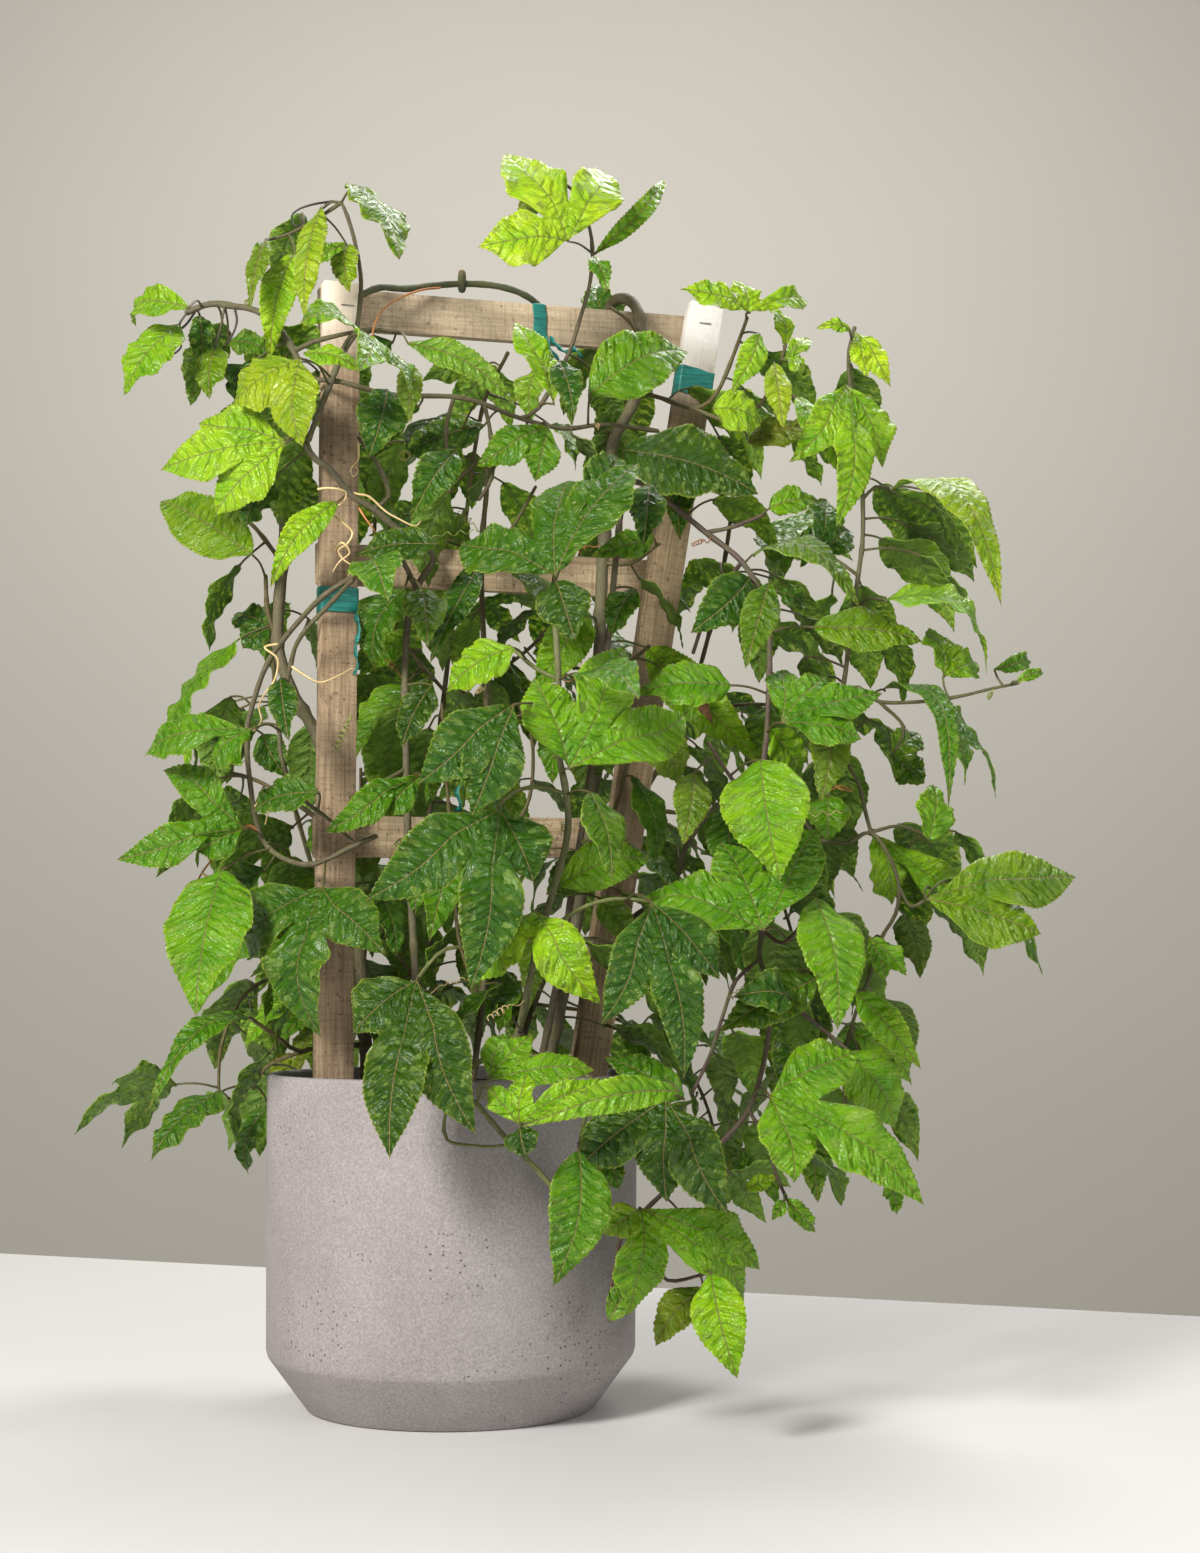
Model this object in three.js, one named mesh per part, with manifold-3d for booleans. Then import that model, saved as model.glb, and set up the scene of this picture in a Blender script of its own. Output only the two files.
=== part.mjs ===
// A passion flower vine in a round planter. Its stems climb a fan of rough wooden laths, are tied
// to it with stretch tape, and arch over and trail down past the rim. Millimetres, +Z up, origin
// at the centre of the planter's foot.
import * as THREE from 'three';
import { mergeVertices } from 'three/addons/utils/BufferGeometryUtils.js';
import Module from 'manifold-3d';

const wasm = await Module();
wasm.setup();

// ---- Driving dimensions ----

const GAP = 0.3;
const POT = {
  height: 248,
  rimRadius: 140,
  shoulderRadius: 138.5,
  shoulderHeight: 41,
  footRadius: 108,
  wall: 7,
  floor: 12,
  sides: 32,
};
const SOIL_TOP = 237;
const SOIL_RISE = 4;

// The trellis stands in a vertical plane through the foot of its left lath.
const TRELLIS = { x: -85.5, y: -50, turn: THREE.MathUtils.degToRad(20) };
const LATH = { width: 28, depth: 14, foot: 90 };
const LEFT_LATH_TOP = 846;
const RIGHT_LATH = { top: 858, footAlong: 174, topAlong: 300 };
const BAR = { height: 31, depth: 9 };
const BARS = [
  { name: 'bar_top', left: 829, right: 836 },
  { name: 'bar_middle', left: 632, right: 635 },
  { name: 'bar_low', left: 425, right: 429 },
];
const TAPE = 1.2;
const STAPLE = { crown: 10, leg: 6, wire: 0.9 };

// Stems and leaves are placed as seen from a point in front of the plant: a place is given by
// where its line of sight crosses the plane Y = 0, and by its own depth behind that plane.
const EYE = new THREE.Vector3(112, -1810, 322);

const RIB_THICKNESS = 1.9;
const PETIOLE_RADIUS = 1.25;
const BENT_STALK = 30;
const STALK_ROOT = 0.45;
const BRANCH_ROOT = 0.5;
const SLIVER = 0.03;
const WILD = { spacing: 92, sparse: 330, firstHeight: 275, tries: 14, firstRow: 200 };
const CELL = 6;
const SAMPLE = 4;
const FLOOR_CLEARANCE = 6;
const POT_CLEARANCE = 5;
const WOOD_CLEARANCE = 4.5;

// ---- Small helpers ----

const vec = (x, y, z) => new THREE.Vector3(x, y, z);

const material = (color, roughness) =>
  new THREE.MeshStandardMaterial({ color, roughness, metalness: 0 });

const MATERIALS = {
  stoneware: material('#aca49f', 0.8),
  compost: material('#2e2620', 0.98),
  rawWood: material('#a98766', 0.9),
  tape: material('#0f6e63', 0.45),
  wire: material('#6d6a66', 0.4),
  foliage: material('#3f8a1d', 0.4),
};

function toManifold(geometry) {
  const bare = geometry.clone();
  bare.deleteAttribute('normal');
  bare.deleteAttribute('uv');
  const merged = mergeVertices(bare, 1e-4);
  return new wasm.Manifold(new wasm.Mesh({
    numProp: 3,
    vertProperties: new Float32Array(merged.getAttribute('position').array),
    triVerts: new Uint32Array(merged.getIndex().array),
  }));
}

function fromManifold(solid) {
  const mesh = solid.getMesh();
  const geometry = new THREE.BufferGeometry();
  geometry.setAttribute('position', new THREE.BufferAttribute(mesh.vertProperties, 3));
  geometry.setIndex(new THREE.BufferAttribute(mesh.triVerts, 1));
  geometry.computeVertexNormals();
  return geometry;
}

function named(name, geometry, finish) {
  const mesh = new THREE.Mesh(geometry, finish);
  mesh.name = name;
  return mesh;
}

// ---- Planter, compost and trellis ----

function potGeometry() {
  const inner = POT.rimRadius - POT.wall;
  const profile = [
    [0, 0],
    [POT.footRadius, 0],
    [POT.shoulderRadius, POT.shoulderHeight],
    [POT.rimRadius, POT.height - 2],
    [POT.rimRadius - 1.5, POT.height],
    [inner + 1.5, POT.height],
    [inner, POT.height - 2],
    [inner - 1.5, POT.shoulderHeight + 4],
    [POT.footRadius - 5, POT.floor],
    [0, POT.floor],
  ];
  return new THREE.LatheGeometry(profile.map(([r, z]) => new THREE.Vector2(r, z)), POT.sides)
    .rotateX(Math.PI / 2);
}

function compostGeometry() {
  const inner = POT.rimRadius - POT.wall;
  const slope = 1.5 / (POT.height - 2 - POT.shoulderHeight - 4);
  const topRadius = inner - (POT.height - 2 - SOIL_TOP) * slope - GAP;
  const profile = [
    [0, POT.floor + GAP],
    [POT.footRadius - 5 - GAP, POT.floor + GAP],
    [inner - 1.5 - GAP, POT.shoulderHeight + 4],
    [topRadius, SOIL_TOP],
    [topRadius * 0.72, SOIL_TOP + 2],
    [topRadius * 0.35, SOIL_TOP + SOIL_RISE],
    [0, SOIL_TOP + SOIL_RISE],
  ];
  return new THREE.LatheGeometry(profile.map(([r, z]) => new THREE.Vector2(r, z)), POT.sides)
    .rotateX(Math.PI / 2);
}

// A box in the trellis's own frame: along its plane, back from it, and up.
const along = vec(Math.cos(TRELLIS.turn), Math.sin(TRELLIS.turn), 0);
const back = vec(-Math.sin(TRELLIS.turn), Math.cos(TRELLIS.turn), 0);

function trellisPoint(a, b, z) {
  return vec(TRELLIS.x, TRELLIS.y, z).addScaledVector(along, a).addScaledVector(back, b);
}

function beam(from, to, width, depth) {
  const axis = to.clone().sub(from);
  const length = axis.length();
  axis.normalize();
  const side = new THREE.Vector3().crossVectors(back, axis).normalize();
  const geometry = new THREE.BoxGeometry(width, depth, length);
  const frame = new THREE.Matrix4().makeBasis(side, back, axis);
  frame.setPosition(from.clone().add(to).multiplyScalar(0.5));
  return geometry.applyMatrix4(frame);
}

const rightLathAlong = (z) => RIGHT_LATH.footAlong
  + (RIGHT_LATH.topAlong - RIGHT_LATH.footAlong) * (z - LATH.foot) / (RIGHT_LATH.top - LATH.foot);

const leftLath = [trellisPoint(0, 0, LATH.foot), trellisPoint(0, 0, LEFT_LATH_TOP)];
const rightLath = [
  trellisPoint(rightLathAlong(LATH.foot), 0, LATH.foot),
  trellisPoint(rightLathAlong(RIGHT_LATH.top), 0, RIGHT_LATH.top),
];
const barBack = LATH.depth / 2 + GAP + BAR.depth / 2;

function barEnds({ left, right }) {
  return [
    trellisPoint(-LATH.width / 2, barBack, left),
    trellisPoint(rightLathAlong(right) + LATH.width / 2 - 1, barBack, right),
  ];
}

// A staple: two legs in holes of the lath and a crown that lies 0.3 mm off its face.
function stapleGeometry(a, z, grow) {
  const face = -LATH.depth / 2;
  const wire = STAPLE.wire + 2 * grow;
  const half = STAPLE.crown / 2;
  const legs = [-half, half].map((offset) => beam(
    trellisPoint(a + offset, face + STAPLE.leg / 2 - 0.4, z - wire / 2),
    trellisPoint(a + offset, face + STAPLE.leg / 2 - 0.4, z + wire / 2),
    wire,
    STAPLE.leg + 1.4 + 2 * grow,
  ));
  const crown = beam(
    trellisPoint(a, face - GAP - wire / 2, z - wire / 2),
    trellisPoint(a, face - GAP - wire / 2, z + wire / 2),
    STAPLE.crown + wire,
    wire,
  );
  return fuse([...legs, crown]);
}

const fuse = (geometries) => wasm.Manifold.union(geometries.map(toManifold));

// A band of stretch tape round a lath or a bar, as a closed loop of even thickness.
function bandGeometry(from, to, width, depth) {
  const outer = beam(from, to, width + 2 * (GAP + TAPE), depth + 2 * (GAP + TAPE));
  const reach = to.clone().sub(from).normalize();
  const inner = beam(
    from.clone().addScaledVector(reach, -5),
    to.clone().addScaledVector(reach, 5),
    width + 2 * GAP,
    depth + 2 * GAP,
  );
  return toManifold(outer).subtract(toManifold(inner));
}

// ---- Sight lines, chance and curves ----

function sight(x, z, depth) {
  return vec(x, 0, z).sub(EYE).multiplyScalar(1 + depth / -EYE.y).add(EYE);
}

// The same draw for the same pair of numbers, from 0 to 1.
function chance(row, item) {
  let state = (row * 7919 + item * 104729 + 13) % 2147483647;
  for (let turn = 0; turn < 3; turn += 1) state = (state * 16807) % 2147483647;
  return state / 2147483647;
}

const spread = (row, item, reach) => (2 * chance(row, item) - 1) * reach;

function smoothLine(points, spacing) {
  const curve = new THREE.CatmullRomCurve3(points, false, 'catmullrom', 0.5);
  const line = [points[0].clone()];
  for (let i = 0; i < points.length - 1; i += 1) {
    const steps = Math.max(1, Math.round(points[i].distanceTo(points[i + 1]) / spacing));
    for (let k = 1; k <= steps; k += 1) {
      line.push(curve.getPoint((i + k / steps) / (points.length - 1)));
    }
  }
  return line;
}

// A closed tube along a line of points, with a radius at each of its two ends. A root below 1
// narrows the first ring, which then lies well inside what the tube grows from.
function tubeGeometry(line, startRadius, endRadius, sides, root = 1) {
  const positions = [];
  const index = [];
  const last = line.length - 1;
  let side = null;
  line.forEach((point, i) => {
    const heading = line[Math.min(i + 1, last)].clone().sub(line[Math.max(i - 1, 0)]).normalize();
    if (!side) side = Math.abs(heading.z) < 0.9 ? vec(0, 0, 1) : vec(1, 0, 0);
    side.addScaledVector(heading, -side.dot(heading)).normalize();
    const other = new THREE.Vector3().crossVectors(heading, side);
    const radius = (startRadius + (endRadius - startRadius) * i / last) * (i === 0 ? root : 1);
    for (let k = 0; k < sides; k += 1) {
      const angle = 2 * Math.PI * k / sides;
      const corner = point.clone()
        .addScaledVector(side, radius * Math.cos(angle))
        .addScaledVector(other, radius * Math.sin(angle));
      positions.push(corner.x, corner.y, corner.z);
    }
  });
  for (let i = 0; i < last; i += 1) {
    for (let k = 0; k < sides; k += 1) {
      const a = i * sides + k;
      const b = i * sides + (k + 1) % sides;
      index.push(a, b, b + sides, a, b + sides, a + sides);
    }
  }
  for (let k = 1; k < sides - 1; k += 1) {
    index.push(0, k + 1, k);
    index.push(last * sides, last * sides + k, last * sides + k + 1);
  }
  const geometry = new THREE.BufferGeometry();
  geometry.setAttribute('position', new THREE.Float32BufferAttribute(positions, 3));
  geometry.setIndex(index);
  return geometry;
}

// ---- One leaf ----
// A leaf is { base, normal, lobes: [{ tip, half }], arch, fold, wave, row }. Each lobe has a rib
// from the base to its tip. Neighbouring lobes share a seam up to the notch between them.

const STATIONS = {
  simple: [0, 0.22, 0.5, 0.78, 1],
  lobed: [0, 0.38, 0.66, 1],
  plain: [0, 0.3, 0.68, 1],
};
const NOTCH = 0.38;
const SMALL_LEAF = 16;
const SEAM_DIP = 6;

function ribPoint(leaf, lobe, rho) {
  return leaf.base.clone().lerp(lobe.tip, rho);
}

function outward(leaf, lobe) {
  const rib = lobe.tip.clone().sub(leaf.base).normalize();
  return new THREE.Vector3().crossVectors(leaf.normal, rib);
}

const lobeWidth = (rho) => Math.max(0, Math.sin(Math.PI * rho ** 1.15)) ** 0.9;
const bladeWidth = (rho) => Math.max(0, Math.sin(Math.PI * rho ** 0.78)) ** 0.85;

// The leaf's margin at a share rho of a lobe's length, before it is raised off its plane.
function marginPoint(leaf, index, side, rho) {
  const lobe = leaf.lobes[index];
  const neighbour = leaf.lobes[index + side];
  if (neighbour && rho <= NOTCH) {
    return ribPoint(leaf, lobe, rho).add(ribPoint(leaf, neighbour, rho)).multiplyScalar(0.5);
  }
  const width = leaf.lobes.length > 1 ? lobeWidth(rho) : bladeWidth(rho);
  return ribPoint(leaf, lobe, rho).addScaledVector(outward(leaf, lobe), side * width * lobe.half);
}

function lift(leaf, index, side, rho, c) {
  const lobe = leaf.lobes[index];
  const length = lobe.tip.distanceTo(leaf.base);
  const seam = leaf.lobes[index + side] && rho <= NOTCH;
  const phase = seam ? 0 : 2 * Math.PI * chance(leaf.row, 31 + 2 * index + side);
  const wave = seam ? 0 : leaf.wave * c * c * Math.sin(2 * Math.PI * 2.3 * rho + phase);
  const arch = leaf.arch * length * 4 * rho * (1 - rho);
  return arch - leaf.fold * lobe.half * c * Math.sin(Math.PI * rho) + wave;
}

function bladePoint(leaf, index, side, rho, c) {
  const lobe = leaf.lobes[index];
  const point = ribPoint(leaf, lobe, rho);
  if (c > 0) point.lerp(marginPoint(leaf, index, side, rho), c);
  const height = c > 0 && leaf.lobes[index + side] && rho <= NOTCH
    ? (1 - c) * lift(leaf, index, side, rho, 0) + c * seamLift(leaf, index, side, rho)
    : lift(leaf, index, side, rho, c);
  return point.addScaledVector(leaf.normal, height);
}

function seamLift(leaf, index, side, rho) {
  const here = lift(leaf, index, side, rho, 0);
  const there = lift(leaf, index + side, -side, rho, 0);
  return 0.5 * (here + there) - SEAM_DIP * rho;
}

// The leaf as one closed solid. Both faces of the blade share its margin and are thickest at the
// ribs; at the base four corners (upper, plus side, lower, minus side) carry on as the stalk.
function leafGeometry(leaf) {
  const small = leaf.row >= WILD.firstRow || leaf.lobes[0].half < SMALL_LEAF;
  const plain = small ? STATIONS.plain : STATIONS.simple;
  const stations = leaf.lobes.length > 1 ? STATIONS.lobed : plain;
  const last = leaf.lobes.length - 1;
  const corners = [];
  const index = [];
  const seen = new Map();
  const corner = (point) => {
    const key = point.toArray().map((value) => value.toFixed(3)).join(' ');
    if (!seen.has(key)) {
      seen.set(key, corners.length / 3);
      corners.push(point.x, point.y, point.z);
    }
    return seen.get(key);
  };
  const ring = (centre, heading, radius) => {
    const up = leaf.normal.clone().addScaledVector(heading, -leaf.normal.dot(heading)).normalize();
    const plus = new THREE.Vector3().crossVectors(up, heading);
    return [[up, 1], [plus, 1], [up, -1], [plus, -1]]
      .map(([way, sign]) => corner(centre.clone().addScaledVector(way, sign * radius)));
  };
  const raised = (at, up) =>
    corner(at.clone().addScaledVector(leaf.normal, up * RIB_THICKNESS / 2));
  const [start, bow] = leaf.stalk;
  const headings = [bow.clone().sub(start), leaf.base.clone().sub(bow)].map((way) => way.normalize());
  const rib = leaf.lobes[Math.floor(last / 2)].tip.clone().sub(leaf.base).normalize();
  const neck = ring(leaf.base, rib, RIB_THICKNESS / 2);
  const face = (a, b, c, reverse) => index.push(...(reverse ? [c, b, a] : [a, b, c]));

  leaf.lobes.forEach((lobe, i) => {
    [-1, 1].forEach((side) => {
      [1, -1].forEach((up) => {
        const reverse = (side > 0) === (up > 0);
        const ribs = stations.map((rho) => {
          if (rho === 0) return neck[up > 0 ? 0 : 2];
          const at = bladePoint(leaf, i, side, rho, 0);
          return rho === 1 ? corner(at) : raised(at, up);
        });
        const edges = stations.map((rho) => {
          const at = bladePoint(leaf, i, side, rho, 1);
          return leaf.lobes[i + side] && rho < NOTCH ? raised(at, up) : corner(at);
        });
        face(ribs[0], edges[1], ribs[1], reverse);
        for (let k = 1; k < stations.length - 1; k += 1) {
          face(ribs[k], edges[k], ribs[k + 1], reverse);
          if (k < stations.length - 2) face(edges[k], edges[k + 1], ribs[k + 1], reverse);
        }
        if (!leaf.lobes[i + side]) face(ribs[0], edges[1], neck[2 - side], !reverse);
      });
    });
  });

  const rings = [ring(start, headings[0], PETIOLE_RADIUS * STALK_ROOT)];
  if (start.distanceTo(leaf.base) > BENT_STALK) {
    rings.push(ring(bow, headings[0].clone().add(headings[1]).normalize(), PETIOLE_RADIUS));
  }
  rings.push(neck);
  rings.slice(1).forEach((ahead, k) => {
    for (let i = 0; i < 4; i += 1) {
      const j = (i + 1) % 4;
      index.push(ahead[i], ahead[j], rings[k][j], ahead[i], rings[k][j], rings[k][i]);
    }
  });
  index.push(rings[0][0], rings[0][1], rings[0][2], rings[0][0], rings[0][2], rings[0][3]);
  const geometry = new THREE.BufferGeometry();
  geometry.setAttribute('position', new THREE.Float32BufferAttribute(corners, 3));
  geometry.setIndex(index);
  return geometry;
}

// Points along a line of straight stretches, a fixed step apart.
function walk(line, step) {
  const points = [line[0].clone()];
  let rest = step;
  for (let i = 0; i < line.length - 1; i += 1) {
    const length = line[i].distanceTo(line[i + 1]);
    let gone = rest;
    while (gone <= length) {
      points.push(line[i].clone().lerp(line[i + 1], gone / length));
      gone += step;
    }
    rest = gone - length;
  }
  return points;
}

// ---- The stems ----
// A stem is [start radius, end radius, [x, z, depth], ...] in sight-line places. The first stem of
// each vine stands in the compost, and the others branch from the stems before them.

const VINES = [
  { name: 'vine_trunk', stems: [
    [6, 5, [-62, 190, 30], [-66, 260, 28], [-72, 340, 18], [-88, 430, 2], [-104, 500, -8],
      [-126, 541, -12], [-137, 580, -12], [-134, 640, -12], [-131, 690, -12], [-129, 736, -12]],
    [2.6, 2, [-137, 580, -12], [-145, 602, -16], [-147, 630, -20]],
    [2.6, 1.8, [-67, 268, 27], [-92, 270, 20], [-117, 264, 5], [-130, 272, 0], [-143, 281, -6],
      [-156, 290, -10]],
    [2.2, 1.8, [-92, 270, 20], [-120, 262, 40], [-142, 252, 60], [-152, 236, 66]],
    [2.6, 1.8, [-88, 430, 2], [-120, 452, 10], [-150, 470, 14], [-176, 478, 10]],
    [2.4, 1.8, [-134, 640, -12], [-156, 668, 0], [-176, 684, 6]],
  ] },
  { name: 'vine_left', stems: [
    [3.6, 3, [-28, 190, -28], [-28, 300, -40], [-34, 400, -46], [-37, 480, -46], [-38, 577, -46],
      [-30, 620, -48], [-17, 645, -52], [-41, 663, -60], [-65, 683, -72], [-82, 694, -78],
      [-97, 713, -78], [-114, 727, -74], [-119, 755, -66], [-119, 785, -62], [-127, 807, -62],
      [-142, 829, -60], [-158, 840, -58], [-174, 843, -56], [-193, 845, -54], [-211, 838, -52]],
    [2.6, 2.4, [-30, 620, -48], [-46, 645, -62], [-76, 631, -78], [-101, 615, -80],
      [-117, 599, -72], [-135, 577, -60], [-147, 557, -56], [-156, 529, -54], [-160, 509, -54],
      [-158, 476, -54], [-150, 432, -58], [-136, 414, -68], [-114, 406, -78], [-98, 410, -82],
      [-80, 419, -84], [-60, 428, -84]],
    [2.3, 1.8, [-76, 631, -78], [-98, 607, -90], [-119, 583, -86], [-127, 560, -76],
      [-135, 505, -72], [-127, 470, -74], [-111, 452, -82], [-95, 440, -86], [-76, 422, -84]],
    [2.6, 2, [-119, 785, -62], [-91, 783, -76], [-52, 773, -64], [-2, 771, -50], [22, 765, -44],
      [50, 754, -36], [84, 746, -26], [116, 749, -22], [157, 744, -16]],
    [2.4, 1.8, [-127, 807, -62], [-111, 815, -72], [-83, 822, -78], [-66, 825, -72],
      [-44, 822, -64]],
    [2.4, 1.6, [-78, 823, -76], [-75, 862, -72], [-81, 898, -68], [-91, 926, -66],
      [-99, 927, -66], [-107, 921, -66]],
    [2, 1.5, [-91, 926, -66], [-112, 912, -56], [-134, 900, -50], [-150, 896, -48]],
    [3.6, 2.6, [-78, 823, -76], [-88, 808, -80], [-102, 772, -82], [-115, 737, -76]],
    [2.2, 1.6, [50, 754, -36], [64, 762, -34], [86, 802, -28], [96, 832, -24], [104, 861, -22],
      [106, 890, -22], [102, 912, -24], [92, 935, -26], [70, 948, -28]],
    [2, 1.8, [-2, 771, -50], [-8, 745, -56], [-6, 720, -58], [-4, 696, -56]],
    [2, 1.8, [22, 765, -44], [27, 740, -52], [28, 708, -56], [18, 690, -56]],
    [2.4, 2, [-65, 683, -72], [-52, 692, -66], [-60, 716, -62], [-76, 739, -60]],
    [2.2, 1.8, [-37, 480, -46], [-55, 470, -56], [-80, 458, -70]],
  ] },
  { name: 'vine_woody', stems: [
    [4.2, 3.6, [56, 190, -16], [82, 300, -14], [102, 420, -10], [110, 540, -8], [114, 640, -6],
      [121, 728, 4], [130, 751, 10], [141, 775, 16], [144, 815, 22], [142, 838, 30],
      [133, 849, 44], [122, 846, 60], [114, 826, 68]],
    [2.4, 1.8, [141, 775, 16], [160, 770, 4], [185, 762, -10], [203, 774, -22], [221, 817, -30],
      [227, 834, -32]],
    [2, 1.6, [185, 762, -10], [212, 752, -26], [236, 764, -34], [250, 790, -36],
      [257, 812, -36]],
    [2, 1.6, [144, 815, 22], [134, 832, 8], [120, 842, 0]],
    [2.2, 1.8, [110, 540, -8], [132, 560, -22], [150, 575, -34]],
    [2.2, 1.8, [102, 420, -10], [124, 450, -30], [134, 486, -40], [150, 512, -44]],
    [2.2, 1.8, [114, 640, -6], [136, 640, -16], [158, 655, -22]],
  ] },
  { name: 'vine_right', stems: [
    [3.4, 2.2, [52, 190, -42], [76, 300, -48], [96, 420, -50], [114, 540, -50], [124, 640, -44],
      [130, 690, -34], [140, 704, -28], [165, 688, -26], [194, 664, -34], [222, 641, -44],
      [238, 612, -54], [243, 580, -60], [241, 514, -72], [238, 480, -76], [243, 446, -80],
      [240, 400, -84], [236, 356, -86], [234, 334, -88], [243, 308, -90], [238, 262, -94],
      [225, 220, -96], [200, 191, -98], [180, 172, -100], [162, 159, -102], [141, 139, -106],
      [127, 122, -108]],
    [2.2, 1.8, [194, 664, -34], [214, 668, -40], [240, 678, -44]],
    [2.2, 1.8, [222, 641, -44], [208, 622, -30], [194, 599, -24], [184, 570, -22]],
    [2.2, 1.6, [243, 446, -80], [222, 462, -88], [208, 480, -92], [196, 500, -92]],
    [2, 1.6, [243, 308, -90], [262, 296, -98], [280, 282, -100], [302, 264, -98]],
    [2, 1.6, [236, 356, -86], [252, 346, -96], [267, 362, -100], [276, 378, -100]],
    [2, 1.6, [225, 220, -96], [238, 196, -104], [246, 170, -106], [253, 154, -106]],
    [2, 1.5, [141, 139, -106], [150, 112, -112], [163, 92, -114], [193, 97, -116]],
    [2, 1.5, [127, 122, -108], [122, 96, -112], [118, 66, -114]],
    [1.9, 1.5, [234, 334, -88], [216, 318, -84], [208, 298, -82], [196, 262, -86],
      [182, 232, -90]],
  ] },
  { name: 'vine_right_high', stems: [
    [3.2, 2, [56, 190, 44], [78, 290, 56], [112, 345, 58], [146, 372, 46], [170, 395, 24],
      [178, 420, 8], [200, 450, -8], [230, 462, -22], [262, 446, -30], [284, 424, -34],
      [287, 470, -30], [285, 507, -28], [299, 541, -28], [306, 592, -30], [312, 630, -32],
      [316, 664, -34], [315, 717, -36], [310, 760, -38], [306, 800, -40], [311, 826, -42]],
    [2, 1.4, [299, 541, -28], [312, 543, -30], [327, 532, -34], [361, 532, -38],
      [389, 536, -40], [414, 542, -42], [434, 546, -42]],
    [2, 1.6, [284, 424, -34], [302, 423, -40], [320, 431, -46], [334, 412, -54],
      [341, 389, -58], [338, 368, -60], [326, 348, -60], [318, 322, -60], [306, 290, -62],
      [299, 263, -64], [298, 232, -68], [302, 206, -70], [326, 168, -72]],
    [2, 1.6, [320, 431, -46], [316, 446, -42], [311, 468, -40], [302, 487, -40],
      [306, 505, -42]],
    [1.8, 1.5, [341, 389, -58], [350, 374, -66], [362, 380, -70]],
    [1.8, 1.5, [320, 431, -46], [342, 436, -40], [364, 428, -38]],
    [1.8, 1.5, [316, 690, -35], [326, 700, -42], [339, 698, -48]],
    [1.8, 1.5, [307, 600, -30], [320, 612, -40], [333, 611, -46]],
    [1.8, 1.4, [312, 630, -32], [296, 642, -24], [280, 648, -20]],
    [1.8, 1.4, [327, 532, -34], [346, 512, -30], [338, 492, -28]],
  ] },
  { name: 'vine_front', stems: [
    [3.4, 2.8, [28, 190, -74], [46, 262, -92], [66, 350, -112], [86, 423, -122], [86, 460, -124],
      [80, 492, -124], [78, 521, -124], [80, 549, -122], [78, 584, -118], [77, 628, -112],
      [92, 660, -100], [100, 690, -90]],
    [2, 1.7, [66, 350, -112], [96, 372, -124], [124, 380, -132], [150, 378, -136]],
    [2, 1.7, [66, 350, -112], [44, 344, -124], [20, 343, -134], [-5, 342, -142],
      [-18, 331, -146], [-27, 319, -148]],
    [2, 1.7, [86, 460, -124], [66, 466, -126], [46, 462, -128], [34, 450, -130]],
    [2, 1.7, [46, 262, -92], [72, 258, -118], [112, 238, -146], [100, 212, -152],
      [96, 190, -154]],
    [2, 1.7, [112, 238, -146], [140, 240, -138], [164, 231, -134]],
    [2.6, 2.4, [46, 262, -92], [20, 256, -126], [4, 238, -148], [20, 222, -152],
      [39, 200, -154], [57, 182, -156], [71, 167, -156], [98, 134, -156]],
    [1.6, 1.4, [4, 238, -148], [-6, 214, -150], [-4, 197, -152], [14, 193, -156],
      [39, 193, -162], [53, 206, -164]],
    [2, 1.7, [80, 549, -122], [62, 558, -116], [46, 572, -108]],
  ] },
  { name: 'vine_inner', stems: [
    [3.2, 2.4, [8, 190, -8], [22, 300, -22], [30, 420, -26], [24, 540, -26], [20, 640, -26],
      [24, 700, -26], [22, 722, -28], [2, 706, -26], [-18, 690, -24]],
    [2, 1.6, [30, 420, -26], [56, 452, -32], [60, 500, -34], [50, 528, -36]],
    [2, 1.6, [22, 300, -22], [4, 350, -30], [0, 410, -34], [-6, 470, -30], [-10, 530, -24]],
    [2, 1.6, [20, 640, -26], [44, 668, -30], [62, 700, -32]],
  ] },
  { name: 'vine_back', stems: [
    [3.2, 2, [-4, 190, 60], [-14, 300, 72], [-20, 420, 80], [-8, 540, 84], [6, 660, 84],
      [20, 760, 76], [40, 806, 68]],
    [2, 1.6, [-14, 300, 72], [-50, 350, 86], [-70, 410, 96], [-72, 480, 104]],
    [2, 1.6, [-8, 540, 84], [-40, 580, 92], [-62, 640, 96], [-60, 710, 90]],
    [2, 1.6, [-8, 540, 84], [40, 560, 100], [80, 600, 108], [100, 660, 104]],
  ] },
  { name: 'vine_back_right', stems: [
    [3.2, 2, [30, 190, 84], [62, 300, 104], [100, 380, 124], [140, 450, 140], [176, 520, 144],
      [200, 600, 132], [214, 680, 110], [216, 740, 84]],
    [2, 1.6, [140, 450, 140], [190, 440, 130], [240, 400, 110], [262, 340, 90],
      [270, 280, 70], [262, 220, 50]],
    [2, 1.6, [62, 300, 104], [120, 290, 136], [170, 262, 140], [196, 214, 130],
      [200, 160, 120]],
    [2, 1.6, [176, 520, 144], [230, 530, 110], [276, 520, 70], [300, 490, 40]],
  ] },
  { name: 'vine_back_left', stems: [
    [3, 2, [-44, 190, 70], [-72, 300, 100], [-104, 390, 116], [-130, 480, 110],
      [-140, 560, 90], [-136, 640, 66]],
    [2, 1.6, [-72, 300, 100], [-120, 320, 110], [-156, 310, 96], [-176, 270, 84],
      [-178, 220, 80]],
    [2, 1.6, [-104, 390, 116], [-60, 440, 140], [-10, 470, 150], [50, 470, 156]],
  ] },
];

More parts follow.
